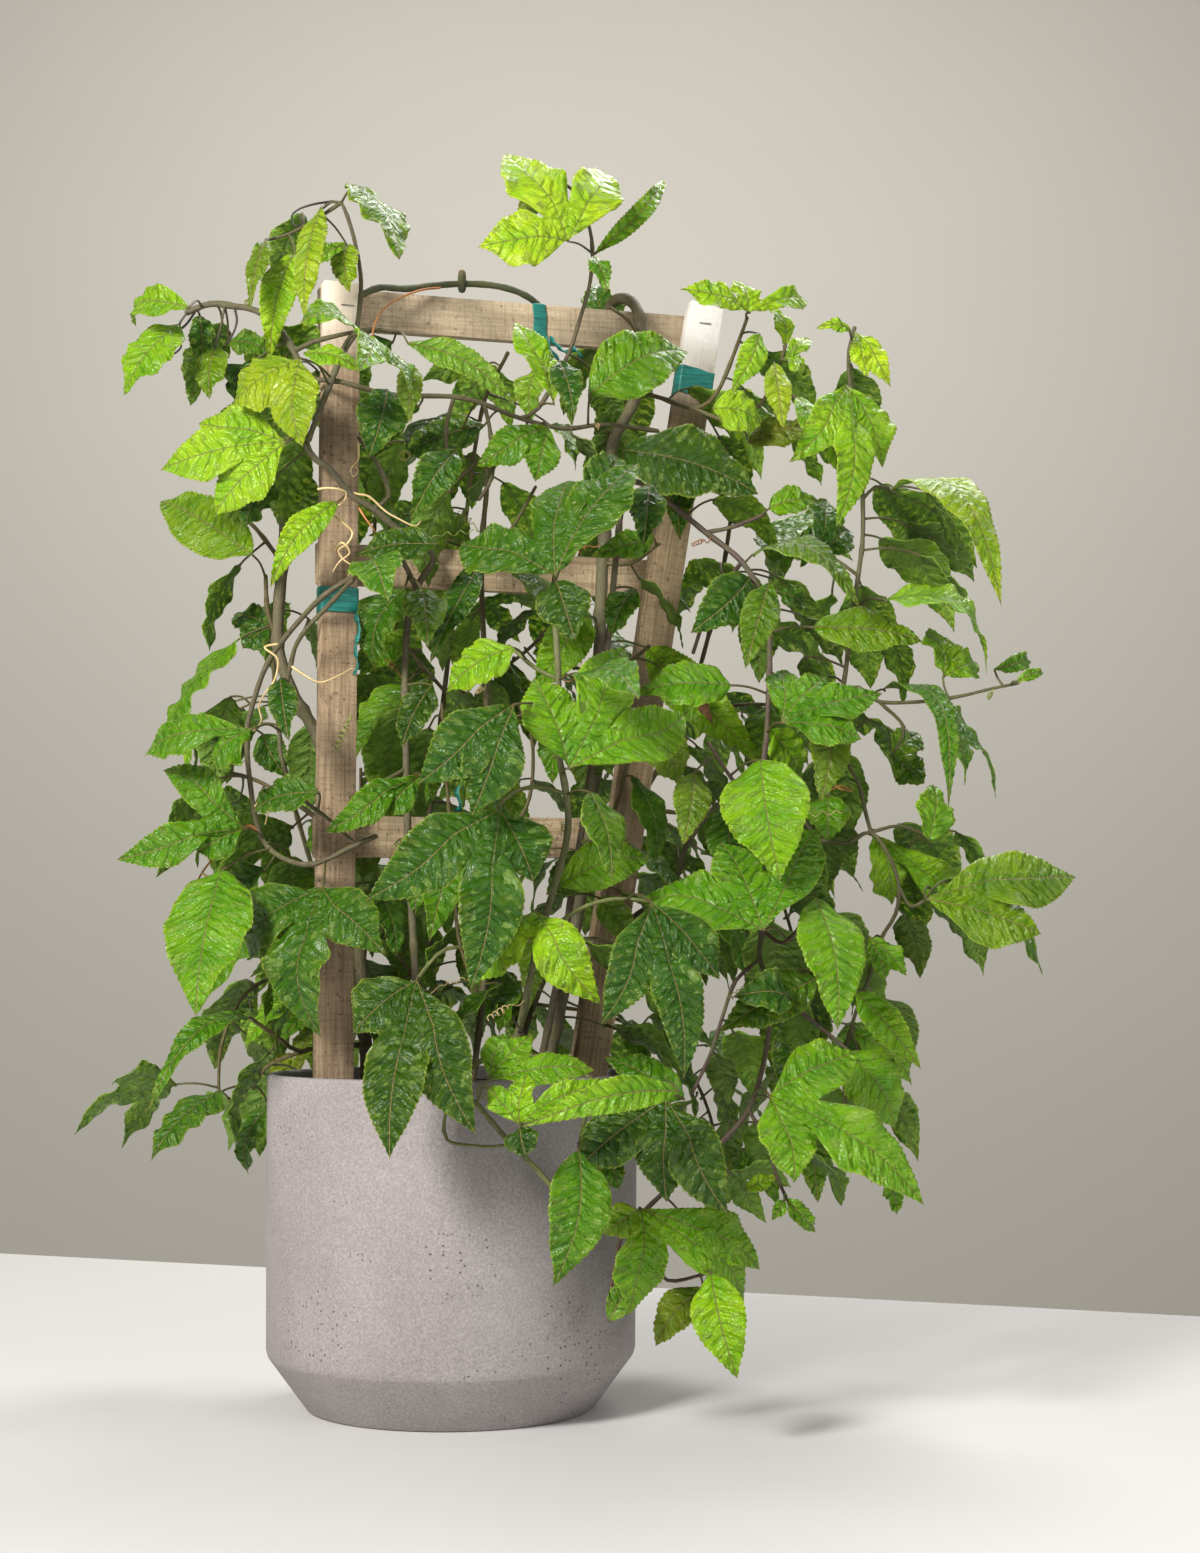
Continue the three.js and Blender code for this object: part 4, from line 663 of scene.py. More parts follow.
# %% [markdown]
# ## Where a leaf faces
# A leaf that shows in front tilts up a little toward the light, and fans out to the side that it
# grows on. Its tips are the places where its rows say they are seen, on the plane of its blade. A
# leaf that doesn't show is a wild leaf: it points away from the heart of the plant and droops.

# %% A leaf that shows
ARCHED_TILT, TILT, MORE_TILT, TILT_SPREAD = 52, 16, 10, 12
FAN_MIDDLE, FAN_STEP, FAN_SPREAD = 60, 16, 24
SLIMMEST = 0.65


def seen_leaf(row, depth):
    """The leaf of a row, with its base a given depth behind the plane that rows are seen on."""
    x, z, place, width, *tips = LEAVES[row]
    arched = len(place) > 2
    plain_tilt = some(row, 2, TILT, MORE_TILT) + spread(row, 1, TILT_SPREAD)
    tilt = math.radians(ARCHED_TILT if arched else plain_tilt)
    turn = math.radians((x - FAN_MIDDLE) / FAN_STEP + spread(row, 3, FAN_SPREAD))
    normal = vec(math.sin(turn) * math.cos(tilt), -math.cos(turn) * math.cos(tilt), math.sin(tilt))
    base = sight(x, z, depth)
    view = unit(base - EYE)
    points, halves = [], []
    for tip_x, tip_z in tips:
        ray = vec(tip_x, 0, tip_z) - EYE
        tip = EYE + ray * (normal @ (base - EYE) / (normal @ ray))
        across = np.cross(normal, unit(tip - base))
        points.append(tip)
        halves.append(width / 2 / max(math.sqrt(1 - (across @ view) ** 2), SLIMMEST))
    arch = 0.24 if arched else some(row, 4, 0.05, 0.07)
    return make_leaf(row, base, normal, points, halves, arch, place[1])


print("the first leaf has", len(seen_leaf(0, 0)["lobes"]), "lobes")


# %% A wild leaf
HEART = (70, 10)
SIDE_LOBE_ANGLE, SIDE_LOBE_LENGTH, LOBED_SHARE = 0.72, 0.8, 0.22


def turned(vector, axis, angle):
    """A vector turned about a unit axis."""
    return (vector * math.cos(angle) + np.cross(axis, vector) * math.sin(angle)
            + axis * (axis @ vector) * (1 - math.cos(angle)))


def wild_leaf(row, hold, heading, attempt):
    """A leaf near a place to hold on, a little further out at each new attempt."""
    outwards = math.atan2(hold[1] - HEART[1], hold[0] - HEART[0])
    swing = (1 if heading else -1) * some(row, 5, 0.5, 0.9) + spread(row, 10 + attempt, 1.1)
    azimuth = outwards + swing
    droop = math.radians(some(row, 6, 22, 40) + spread(row, 40 + attempt, 14))
    away = vec(math.cos(azimuth), math.sin(azimuth), 0)
    base = hold + away * (some(row, 8, 18, 20) + 2 * attempt)
    base[2] += 8 - 2 * attempt
    rib = away * math.cos(droop) - vec(0, 0, math.sin(droop))
    normal = away * math.sin(droop) + vec(0, 0, math.cos(droop))
    normal = turned(normal, rib, spread(row, 7, 0.6))
    length = some(row, 9, 62, 44)
    lobed = chance(row, 11) < LOBED_SHARE
    angles = [-SIDE_LOBE_ANGLE, 0, SIDE_LOBE_ANGLE] if lobed else [0]
    tips = [base + turned(rib, normal, angle) * length * (SIDE_LOBE_LENGTH if angle else 1)
            for angle in angles]
    half = length * (0.17 if lobed else some(row, 12, 0.22, 0.05))
    return make_leaf(row, base, normal, tips, [half] * len(tips), 0.07, "M")


print("a wild leaf has", len(wild_leaf(1, hold_points[0], True, 0)["lobes"]), "lobes")

# %% [markdown]
# ## Settling the leaves
# Each leaf is tried at several places. It stays at the first one where its blade and its stalk find
# room, and its stalk then runs in a bow from the nearest stem that it can reach without touching
# another vine. Every leaf that settles takes up room of its own.

# %% A stalk
ALL_VINES, STALKS_TRIED, SHORTEST_STALK = 65535, 24, 5


def stalk_line(leaf, start):
    """Three places of a stalk, which bows up a little on its way to the blade."""
    bow = (start + leaf["base"]) * 0.5
    bow[2] += 0.1 * np.linalg.norm(start - leaf["base"])
    return [start, bow - 2 * leaf["normal"], leaf["base"]]


def stalk_samples(line):
    samples = []
    for here, there in zip(line, line[1:]):
        steps = math.ceil(np.linalg.norm(there - here) / SAMPLE) + 1
        samples += [here + (there - here) * (k / steps) for k in range(1, steps + 1)]
    return np.array(samples)


def stalk_for(leaf, longest, crowd):
    """The vine, the line and the samples of the first stalk that finds room."""
    reach = np.linalg.norm(hold_points - leaf["base"], axis=1)
    near = [i for i in np.argsort(np.round(reach, 6), kind="stable")
            if SHORTEST_STALK < reach[i] < longest]
    for i in near[:STALKS_TRIED]:
        line = stalk_line(leaf, hold_points[i])
        samples = stalk_samples(line)
        others = owners(samples) & np.uint16(ALL_VINES - hold_vines[i]["bit"])
        if (others > 0).mean() <= crowd and not meets_holder(samples):
            return hold_vines[i], line, samples
    return None


# %% Settling one leaf
def settle(leaves, longest, crowd=0.0):
    """Keeps the first of some tries that finds room, where crowd is the share it may touch."""
    for leaf in leaves:
        samples = blade_samples(leaf)
        if (owners(samples) > 0).mean() > crowd or meets_holder(samples):
            continue
        if crowd and not inside_plant(samples):
            continue
        stalk = stalk_for(leaf, longest, crowd)
        if stalk is None:
            continue
        vine, line, stalk_points = stalk
        mark(samples, vine["bit"])
        mark(stalk_points, vine["bit"])
        leaf["stalk"] = line
        vine["leaves"].append(leaf)
        return True
    return False


# %% Settle the leaves that show
SLIDE, SLIDES, LONGEST_STALK = 6, 16, 85
DEEPER = {"F": 0.3, "M": 0.12, "B": 0}
DEEPER_FROM = -200
START_DEPTH = {"F": -24, "M": -8, "B": 16}
hold_seen = seen_at(hold_points)

for row, (x, z, place, *_) in enumerate(LEAVES):
    away = np.hypot(hold_seen[:, 0] - x, hold_seen[:, 1] - z)
    depth_cost = DEEPER[place[0]] * (hold_points[:, 1] - DEEPER_FROM)
    nearest = np.argmin(np.round(away + depth_cost, 6))
    start = hold_points[nearest][1] + START_DEPTH[place[0]]
    first = -SLIDE if place[0] == "F" else SLIDE
    depths = [start]
    for k in range(1, SLIDES + 1):
        depths += [start + first * k, start - first * k]
    settle((seen_leaf(row, depth) for depth in depths), LONGEST_STALK)
print("settled", sum(len(vine["leaves"]) for vine in vines))

# %% Settle the wild leaves
LONGEST_WILD_STALK = 60
WILD = {"spacing": 92, "sparse": 330, "tries": 14, "first_row": 200,
        "first_height": 275, "rim_reach": 20}
wild_row = WILD["first_row"]
for vine in vines:
    spacing = WILD["spacing"] if vine["name"].startswith("vine_back") else WILD["sparse"]
    for stem in vine["stems"]:
        for i, point in enumerate(walk(stem["line"], spacing)):
            if over_pot(point, WILD["rim_reach"]) and point[2] < WILD["first_height"]:
                continue
            wild_row += 1
            tries = (wild_leaf(wild_row, point, i % 2 == 0, k) for k in range(WILD["tries"]))
            settle(tries, LONGEST_WILD_STALK)
print("leaves", {vine["name"]: len(vine["leaves"]) for vine in vines})

# %% [markdown]
# ## Small leaves in between
# The leaves so far give the plant its outline. Between them the real plant carries many smaller
# ones, most of them in shade. They are grown by the same rule, but they may crowd a little, and
# each is kept only where it lies inside the outline, seen from the front, the side and above,
# leaves the open places of the plant open, and stays behind the front of the trellis.

# %% The outline that small leaves stay in
INSIDE_SHARE, OPEN_SHARE = 0.86, 0.12


def filled_rows(shadow):
    """A shadow of the plant with every row filled from its first to its last cell."""
    first = np.maximum.accumulate(shadow, axis=0)
    last = np.maximum.accumulate(shadow[::-1], axis=0)[::-1]
    return first & last


shadows = [filled_rows((room > 0).any(axis=axis)) for axis in (1, 0, 2)]
SEEN_AXES = [(0, 2), (1, 2), (0, 1)]
OPEN_PLACES = [
    (-130, 545, 34), (-130, 470, 34), (-126, 415, 28), (-20, 800, 34), (40, 800, 24),
    (150, 758, 20), (208, 574, 28), (345, 500, 38), (340, 600, 36), (345, 440, 26),
    (316, 380, 24), (-172, 356, 28), (-195, 318, 36), (143, 302, 14), (-100, 870, 30),
    (60, 880, 40), (170, 880, 40), (-200, 640, 40), (0, 640, 12), (130, 600, 14),
    (-30, 110, 128), (-90, 640, 26), (-90, 520, 24), (-90, 440, 22), (-150, 640, 28),
    (-190, 560, 34), (250, 700, 22), (90, 700, 14), (170, 640, 16), (20, 560, 14),
    (198, 832, 34), (187, 782, 24), (166, 668, 16), (-88, 700, 22), (-88, 596, 20),
    (-92, 382, 20), (-92, 326, 18), (-40, 835, 20), (0, 838, 20), (40, 840, 18),
    (104, 300, 26), (70, 332, 18), (160, 700, 16), (176, 452, 18), (232, 640, 18),
    (250, 560, 16), (176, 520, 12), (20, 905, 32), (10, 760, 22), (60, 764, 18), (-10, 460, 12),
    (-238, 264, 46), (-186, 262, 30),
]


def inside_plant(samples):
    """Whether points lie within the outline from three sides and outside the open places."""
    spots = cells(samples)
    for shadow, (a, b) in zip(shadows, SEEN_AXES):
        if shadow[spots[:, a], spots[:, b]].mean() < INSIDE_SHARE:
            return False
    seen = seen_at(samples)
    return not any((np.hypot(seen[:, 0] - x, seen[:, 1] - z) < radius).mean() > OPEN_SHARE
                   for x, z, radius in OPEN_PLACES)


print("open places", len(OPEN_PLACES))

# %% Grow the small leaves
INFILL = {"spacing": 11, "tries": 12, "first_row": 2000, "crowd": 0.14,
          "first_height": 262, "rim_reach": 10, "front": -42}
SHADE_AGES = "DDDDDMMMMMMV"


def small_leaf(row, hold, heading, attempt):
    """A wild leaf made smaller, with an age that suits the shade."""
    leaf = wild_leaf(row, hold, heading, attempt)
    size = some(row, 21, 0.68, 0.36)
    lobes = [(leaf["base"] + (tip - leaf["base"]) * size, half * size)
             for tip, half in leaf["lobes"]]
    pick = int(chance(row, 22) * len(SHADE_AGES))
    return dict(leaf, lobes=lobes, age=SHADE_AGES[pick])


infill_row, grown = INFILL["first_row"], 0
for vine in vines:
    for stem in vine["stems"]:
        for i, point in enumerate(walk(stem["line"], INFILL["spacing"])):
            infill_row += 1
            if over_pot(point, INFILL["rim_reach"]) and point[2] < INFILL["first_height"]:
                continue
            tries = (small_leaf(infill_row, point, i % 2 == 0, k) for k in range(INFILL["tries"]))
            tries = [leaf for leaf in tries
                     if min(tip[1] for tip, _ in leaf["lobes"]) > INFILL["front"]]
            grown += settle(tries, LONGEST_WILD_STALK, INFILL["crowd"])
print("small leaves", grown)

# %% [markdown]
# ## Building many small forms in one mesh
# Hundreds of leaves are far too many to model by hand, so their corners are worked out as arrays of
# numbers. Each form is a grid of corners with its faces. All the forms of one vine are joined, given
# to Blender in one go, and then corners that share a place are merged, which closes each form.

# %% A store for corners and faces
def new_store():
    """An empty store, where under marks undersides and bark, and edge marks leaf margins."""
    return {"corners": [], "faces": [], "finish": [], "uv": [], "tint": [], "under": [],
            "edge": [], "count": 0}


def add_grid(store, grid, uv, tint, under, flip, wrap=False, finish=0, edge=0.0):
    """Adds a grid of corners, with its faces turned over when flip is set."""
    rows, columns = grid.shape[:2]
    numbers = store["count"] + np.arange(rows * columns).reshape(rows, columns)
    if wrap:
        numbers = np.concatenate([numbers, numbers[:, :1]], axis=1)
    a, b = numbers[:-1, :-1], numbers[:-1, 1:]
    c, d = numbers[1:, 1:], numbers[1:, :-1]
    quads = np.stack([a, b, c, d], axis=-1).reshape(-1, 4)
    store["faces"].append(quads[:, ::-1] if flip else quads)
    store["finish"].append(np.full(len(quads), finish))
    store["corners"].append(grid.reshape(-1, 3))
    store["uv"].append(uv.reshape(-1, 2))
    flat = np.broadcast_to(np.asarray(tint, float), (rows, columns, 3)).reshape(-1, 3)
    store["tint"].append(flat)
    store["under"].append(np.full(rows * columns, float(under)))
    store["edge"].append(np.broadcast_to(edge, (rows, columns)).ravel())
    store["count"] += rows * columns


# %% From a store to an object
MERGE_DISTANCE, CM_PER_MM = 0.000001, 0.1


def linked(name, data):
    """A new object for a mesh, a light or a camera, put into the scene."""
    made = bpy.data.objects.new(name, data)
    bpy.context.collection.objects.link(made)
    return made


def store_object(name, store):
    """One object from a store, with doubles merged, UVs in centimetres and its attributes."""
    corners = np.concatenate(store["corners"]) * MM
    faces = np.concatenate(store["faces"])
    mesh = bpy.data.meshes.new(name)
    mesh.vertices.add(len(corners))
    mesh.vertices.foreach_set("co", corners.ravel())
    mesh.loops.add(faces.size)
    mesh.loops.foreach_set("vertex_index", faces.ravel())
    mesh.polygons.add(len(faces))
    mesh.polygons.foreach_set("loop_start", np.arange(len(faces)) * 4)
    mesh.polygons.foreach_set("material_index", np.concatenate(store["finish"]))
    mesh.update(calc_edges=True)
    layer = mesh.uv_layers.new(name="surface")
    uvs = np.concatenate(store["uv"])[faces.ravel()] * CM_PER_MM
    layer.data.foreach_set("uv", uvs.ravel())
    tint = mesh.color_attributes.new("tint", "FLOAT_COLOR", "POINT")
    colours = np.concatenate(store["tint"])
    tint.data.foreach_set("color", np.c_[colours, np.ones(len(colours))].ravel())
    for key in ("under", "edge"):
        values = mesh.attributes.new(key, "FLOAT", "POINT")
        values.data.foreach_set("value", np.concatenate(store[key]))
    work = bmesh.new()
    work.from_mesh(mesh)
    bmesh.ops.remove_doubles(work, verts=work.verts, dist=MERGE_DISTANCE)
    bmesh.ops.dissolve_degenerate(work, edges=work.edges, dist=MERGE_DISTANCE)
    for face in work.faces:
        face.smooth = True
    work.to_mesh(mesh)
    open_edges = sum(not edge.is_manifold for edge in work.edges)
    triangles = sum(len(face.verts) - 2 for face in work.faces)
    work.free()
    print(name, triangles, "triangles", open_edges, "open edges")
    return linked(name, mesh)


# %% A round stem, stalk or tendril
ROUND_CAP = [(0.0, -1.0), (0.7, -0.7)]
CAP_LENGTH = 0.8


def side_directions(line):
    """Two directions square to a line at each of its points, carried along without twisting."""
    ways = [unit(b - a) for a, b in zip(line, line[1:])]
    ways = [ways[0]] + [unit(a + b) for a, b in zip(ways, ways[1:])] + [ways[-1]]
    across = unit(np.cross(ways[0], vec(0.3, 0.5, 0.8)))
    pairs = []
    for way in ways:
        across = unit(across - way * (across @ way))
        pairs.append((across, np.cross(way, across)))
    return ways, pairs


def add_tube(store, line, radii, sides, tints, under=0.0, finish=1):
    """A closed tube along a line, with a rounded cap at each end."""
    line = [vec(*point) for point in line]
    ways, pairs = side_directions(line)
    reach = [0.0]
    for here, there in zip(line, line[1:]):
        reach.append(reach[-1] + np.linalg.norm(there - here))
    rings, uvs, colours = [], [], []
    angles = np.arange(sides) * 2 * math.pi / sides

    def ring(i, radius, shift):
        across, up = pairs[i]
        around = np.cos(angles)[:, None] * across + np.sin(angles)[:, None] * up
        rings.append(line[i] + ways[i] * shift + around * radius)
        uvs.append(np.stack([np.full(sides, reach[i] + shift), angles * radii[i]], axis=-1))
        colours.append(np.broadcast_to(tints[i], (sides, 3)))

    last = len(line) - 1
    for share, shift in ROUND_CAP:
        ring(0, radii[0] * share, radii[0] * shift * CAP_LENGTH)
    for i in range(len(line)):
        ring(i, radii[i], 0.0)
    for share, shift in reversed(ROUND_CAP):
        ring(last, radii[last] * share, radii[last] * -shift * CAP_LENGTH)
    add_grid(store, np.array(rings), np.array(uvs), np.array(colours), under, False, True, finish)

# %% [markdown]
# ## The leaves, close up
# The margin of the real leaf is cut into small forward teeth, and the blade is puckered between the
# side veins, which leave the midrib about every eight millimetres and run forward to the margin.
# A row of stations runs up each lobe, two to a tooth, and a few columns run from rib to margin. The
# upper side puckers upward, the underside follows it, and the midrib stands out below.

# %% Tints of leaves by age
TINTS = {
    "D": (0.032, 0.100, 0.002), "M": (0.074, 0.192, 0.002), "V": (0.140, 0.305, 0.003),
    "L": (0.255, 0.425, 0.006), "Y": (0.330, 0.500, 0.012), "O": (0.165, 0.235, 0.008),
    "P": (0.150, 0.270, 0.015),
}
SHADED_BELOW, SHADE_SHARE = 640, 0.75
PALER_FROM, PALER_OVER, PALER_SHARE = 560, 260, 0.38


def leaf_tint(leaf):
    """The tint of a leaf, which also depends on its height and a little on chance."""
    base = vec(*TINTS[leaf["age"]])
    if leaf["age"] in "LY" and leaf["base"][2] < SHADED_BELOW:
        base = (1 - SHADE_SHARE) * base + SHADE_SHARE * vec(*TINTS["V"])
    if leaf["age"] in "MV":
        high = min(1.0, max(0.0, (leaf["base"][2] - PALER_FROM) / PALER_OVER))
        base = base * (1 - PALER_SHARE * high) + PALER_SHARE * high * vec(*TINTS["L"])
    light = 1 + spread(leaf["row"], 61, 0.3)
    warm = spread(leaf["row"], 62, 0.16)
    return base * light * vec(1 + warm, 1, 1 - 0.5 * warm)



# %% How a blade droops, folds and ripples
def lively(leaf, index, side, rho, c, free, length):
    """How far the blade sways sideways, and how far it lifts, beyond its plain form."""
    item = 4 * index + side
    row = leaf["row"]
    later = np.clip((rho - NOTCH) / (1 - NOTCH), 0, 1) if len(leaf["lobes"]) > 1 else rho
    sway = np.sin(np.pi * later) * spread(row, 140 + index, 0.06) * length
    ripple = np.sin(2 * np.pi * (3.1 * rho + chance(row, 150 + item)) + 2.5 * rho * rho)
    ripple += 0.6 * np.sin(2 * np.pi * (5.3 * rho + chance(row, 160 + item)))
    calm = np.minimum(1, np.minimum(rho, 1 - rho) * 7)
    droop = some(row, 170 + index, 0.05, 0.20)
    curl = -length * droop * np.clip((rho - 0.4) / 0.6, 0, 1) ** 2
    fold = some(row, 175, 0.10, 0.22) * leaf["lobes"][index][1]
    curl = curl + fold * (c ** 1.5) * hump(rho) * free
    depth = some(row, 180, 0.055, 0.050) * leaf["lobes"][index][1]
    return sway, depth * ripple * c ** 2.2 * calm * free + curl


# %% Half a lobe with teeth, puckers and a thickness
COLUMNS, COLUMN_POWER = 6, 0.85
BITE, WILD_BITE, BLADE_THICKNESS = 0.5, 0.35, 0.42
VEIN_STEP, VEIN_SLANT, PUCKER, YOUNG_PUCKER = 9.0, 0.66, 1.5, 0.55


def fine_blade(leaf, index, side, stations):
    """The upper side of half a lobe, its thickness, its UVs and how near the margin it is."""
    rho = np.arange(stations + 1)[:, None] / stations
    c = (np.arange(COLUMNS + 1)[None, :] / COLUMNS) ** COLUMN_POWER
    tip, half = leaf["lobes"][index]
    length = np.linalg.norm(tip - leaf["base"])
    tooth = (np.arange(stations + 1) % 2)[:, None] * 2 - 1
    reach = lobe_share(leaf, rho) * half
    keen = lobe_share(leaf, rho) ** (0.30 if len(leaf["lobes"]) > 1 else 0.18)
    bite = BITE if leaf["row"] < WILD["first_row"] else WILD_BITE
    teeth = bite * tooth * np.minimum(1, reach / 5) * (c > 0.99) / np.maximum(reach, 1)
    points = blade_points(leaf, index, side, rho, c, keen * (1 + teeth), soft=True)
    inside = neighbour(leaf, index, side) is not None
    free = np.clip((rho - NOTCH) / 0.1, 0, 1) if inside else np.ones_like(rho)
    forward = unit(tip - leaf["base"])
    near_tip = np.minimum(1, (1 - rho) * 12) * (rho > 0.06)
    step = 0.7 * bite * (tooth + 1) * (c > 0.99) * (free > 0.2) * near_tip
    sway, lift = lively(leaf, index, side, rho, c, free, length)
    points = points + forward * step[..., None]
    points = points + outward(leaf, index) * (sway * np.ones_like(c))[..., None]
    rib = rib_point(leaf, index, rho) + outward(leaf, index) * sway[..., None]
    flat = points - rib
    flat = flat - leaf["normal"] * (flat @ leaf["normal"])[..., None]
    out = np.linalg.norm(flat, axis=-1)
    phase = (rho * length - VEIN_SLANT * out) / VEIN_STEP + chance(leaf["row"], 70 + index)
    swell = np.abs(np.sin(np.pi * phase)) ** 0.7 - 0.45
    swell = swell + 0.30 * np.sin(out * 1.1 + 5 * chance(leaf["row"], 75) + 2 * np.pi * phase)
    hold = hump(c) ** 0.6 * hump(rho) ** 0.4
    young = YOUNG_PUCKER if leaf["age"] == "Y" else 1.0
    lift = lift + PUCKER * young * swell * hold
    points = points + leaf["normal"] * lift[..., None]
    thick = BLADE_THICKNESS + (1 - c) ** 6 * np.minimum(1, rho * 12) * (1 - rho)
    uv = np.stack(np.broadcast_arrays(rho * length, side * out), axis=-1)
    return points, thick, uv, c * free


# %% One fine leaf
STATION, WILD_STATION = 2.1, 2.7
UNDERSIDE_COLUMNS = [0, 2, COLUMNS]


def add_leaf(store, leaf):
    """Adds the upper side, the underside and the rim of every half lobe, which close up."""
    longest = max(np.linalg.norm(tip - leaf["base"]) for tip, _ in leaf["lobes"])
    station = STATION if leaf["row"] < WILD["first_row"] else WILD_STATION
    stations = max(10, 2 * round(longest / station / 2) + 1)
    tint = leaf_tint(leaf)
    for index in range(len(leaf["lobes"])):
        for side in (-1, 1):
            top, thick, uv, edge = fine_blade(leaf, index, side, stations)
            low = top - leaf["normal"] * thick[..., None]
            add_grid(store, top, uv, tint, 0, side > 0, edge=edge)
            few = UNDERSIDE_COLUMNS
            add_grid(store, low[:, few], uv[:, few], tint, 1, side < 0, edge=edge[:, few])
            margin = np.stack([top[:, -1], low[:, -1]], axis=1)
            rim_uv = np.stack([uv[:, -1], uv[:, -1]], axis=1)
            if neighbour(leaf, index, side) is not None:
                first = int(math.floor(NOTCH * stations + 1e-9))
                margin, rim_uv = margin[first:], rim_uv[first:]
            add_grid(store, margin, rim_uv, tint, 0.5, side > 0, edge=1.0)


print("rows of corners on a 90 mm lobe:", 2 * round(90 / STATION / 2) + 2)

# %% [markdown]
# ## Stalks and stems
# A stalk is thickest at its two ends, and green with some red. A stem tapers from its foot, has a
# swollen joint where leaves grow, and turns from green to grey bark as it gets thick. Both are
# closed tubes along a smooth line.

# %% A stalk as a tube
STALK_GREEN, STALK_RED = vec(0.120, 0.150, 0.035), vec(0.130, 0.060, 0.025)
STALK_SPACING, STALK_SIDES = 6, 7


def add_stalk(store, leaf):
    line = smooth_line([vec(*point) for point in leaf["stalk"]], STALK_SPACING)
    line[-1] = line[-1] - leaf["normal"] * 0.6
    line.append(line[-1] + unit(leaf["lobes"][0][0] - leaf["base"]) * 2)
    share = np.linspace(0, 1, len(line))
    radii = 0.85 + 0.35 * np.exp(-share * 9) + 0.3 * np.exp(-(1 - share) * 9)
    red = 0.1 if leaf["age"] == "Y" else some(leaf["row"], 64, 0.2, 0.5)
    colour = STALK_GREEN * (1 - red) + STALK_RED * red
    tints = [colour * (0.75 + 0.35 * part) for part in share]
    add_tube(store, line, radii, STALK_SIDES, tints, 0.25)


# %% A stem as a tube
BARK_GREY, STEM_GREEN = vec(0.185, 0.165, 0.105), vec(0.110, 0.110, 0.025)
STEM_TINTS = {"vine_front": vec(0.170, 0.200, 0.050), "vine_right": vec(0.095, 0.055, 0.040),
              "vine_left": vec(0.115, 0.095, 0.040), "vine_right_high": vec(0.110, 0.105, 0.035)}
STEM_SPACING, STEM_SIDES, JOINT_EVERY = 7, 9, 9


def add_stem(store, stem, number, vine_name):
    line = smooth_line(stem["points"], STEM_SPACING)
    share = np.linspace(0, 1, len(line))
    radii = stem["start"] + (stem["end"] - stem["start"]) * share
    lumps = np.array([1 + spread(number * 500 + i, 80, 0.07) for i in range(len(line))])
    joints = np.array([0.22 if i % JOINT_EVERY == 4 else 0.0 for i in range(len(line))])
    bark = np.clip((radii - 1.9) / 1.8, 0, 1)[:, None]
    thick = 0.9 if vine_name == "vine_woody" else -0.6
    radii = np.where(radii < 3, radii * 0.8, radii + thick)
    young = STEM_TINTS.get(vine_name, STEM_GREEN * 0.7 + STALK_RED * 0.4)
    tints = (BARK_GREY * 0.6 + young * 0.4) * bark + young * (1 - bark)
    add_tube(store, line, radii * lumps * (1 + joints), STEM_SIDES, tints, 0.75)


print("stem tints", list(STEM_TINTS))

# %% [markdown]
# ## The finish of leaf and stem
# A passion flower leaf has a leathery upper side with a waxy shine, a tan midrib and dark, sunken
# side veins that fade toward the margin, and a matt, paler underside. The pattern follows each
# blade, so it is read from the UV map, where one unit is a centimetre along and across the lobe. The
# tint of each leaf comes from an attribute, and slow noise makes it patchy, with a few yellow and
# brown flecks.

# %% Helpers for shader nodes
def new_material(name, **values):
    """A material with plain values on its shader, such as Metallic."""
    material = bpy.data.materials.new(name)
    material.use_nodes = True
    tree = material.node_tree
    shader = tree.nodes["Principled BSDF"]
    for key, value in values.items():
        shader.inputs[key.replace("_", " ")].default_value = value
    return material, tree, shader


def feed(tree, owner, key, value):
    """Links a socket to an input, or gives the input a plain value."""
    if isinstance(value, bpy.types.NodeSocket):
        tree.links.new(value, owner.inputs[key])
    else:
        owner.inputs[key].default_value = value


def node(tree, kind, inputs=None, **settings):
    """A node with its settings and inputs."""
    made = tree.nodes.new(kind)
    for key, value in settings.items():
        setattr(made, key, value)
    for key, value in (inputs or {}).items():
        feed(tree, made, key, value)
    return made


def surfaced(tree, shader, colour, rough):
    feed(tree, shader, "Base Color", colour)
    feed(tree, shader, "Roughness", rough)


def sums(tree, operation, *values):
    return node(tree, "ShaderNodeMath", dict(enumerate(values)), operation=operation).outputs[0]


def times(tree, first, second):
    return sums(tree, "MULTIPLY", first, second)


def ramp(tree, value, low, high):
    """0 below low and 1 above high, or the other way round when low is the larger."""
    made = node(tree, "ShaderNodeMapRange", {"Value": value, "From Min": low, "From Max": high},
                interpolation_type="SMOOTHSTEP")
    return made.outputs["Result"]


# %% Where a pattern is read
def object_place(tree):
    """The place of a point in the object, which no piece moves or turns."""
    return node(tree, "ShaderNodeTexCoord").outputs["Object"]


def surface_uv(tree):
    return node(tree, "ShaderNodeUVMap", uv_map="surface").outputs["UV"]


def stored(tree, name, kind="Fac"):
    """A value that the mesh stores at its corners."""
    return node(tree, "ShaderNodeAttribute", attribute_name=name).outputs[kind]


def scaled(tree, vector, *scale):
    return node(tree, "ShaderNodeMapping", {"Vector": vector, "Scale": scale}).outputs["Vector"]


# %% Mixed colours, noise and bump
MIX_INPUTS, MIX_OUTPUT = (0, 6, 7), 2


def blend(tree, share, first, second, how="MIX"):
    """A mix of two colours, each one a socket or three numbers."""
    ends = [value if isinstance(value, bpy.types.NodeSocket) else (*value, 1.0)
            for value in (first, second)]
    made = node(tree, "ShaderNodeMix", data_type="RGBA", blend_type=how)
    for key, value in zip(MIX_INPUTS, (share, *ends)):
        feed(tree, made, key, value)
    return made.outputs[MIX_OUTPUT]


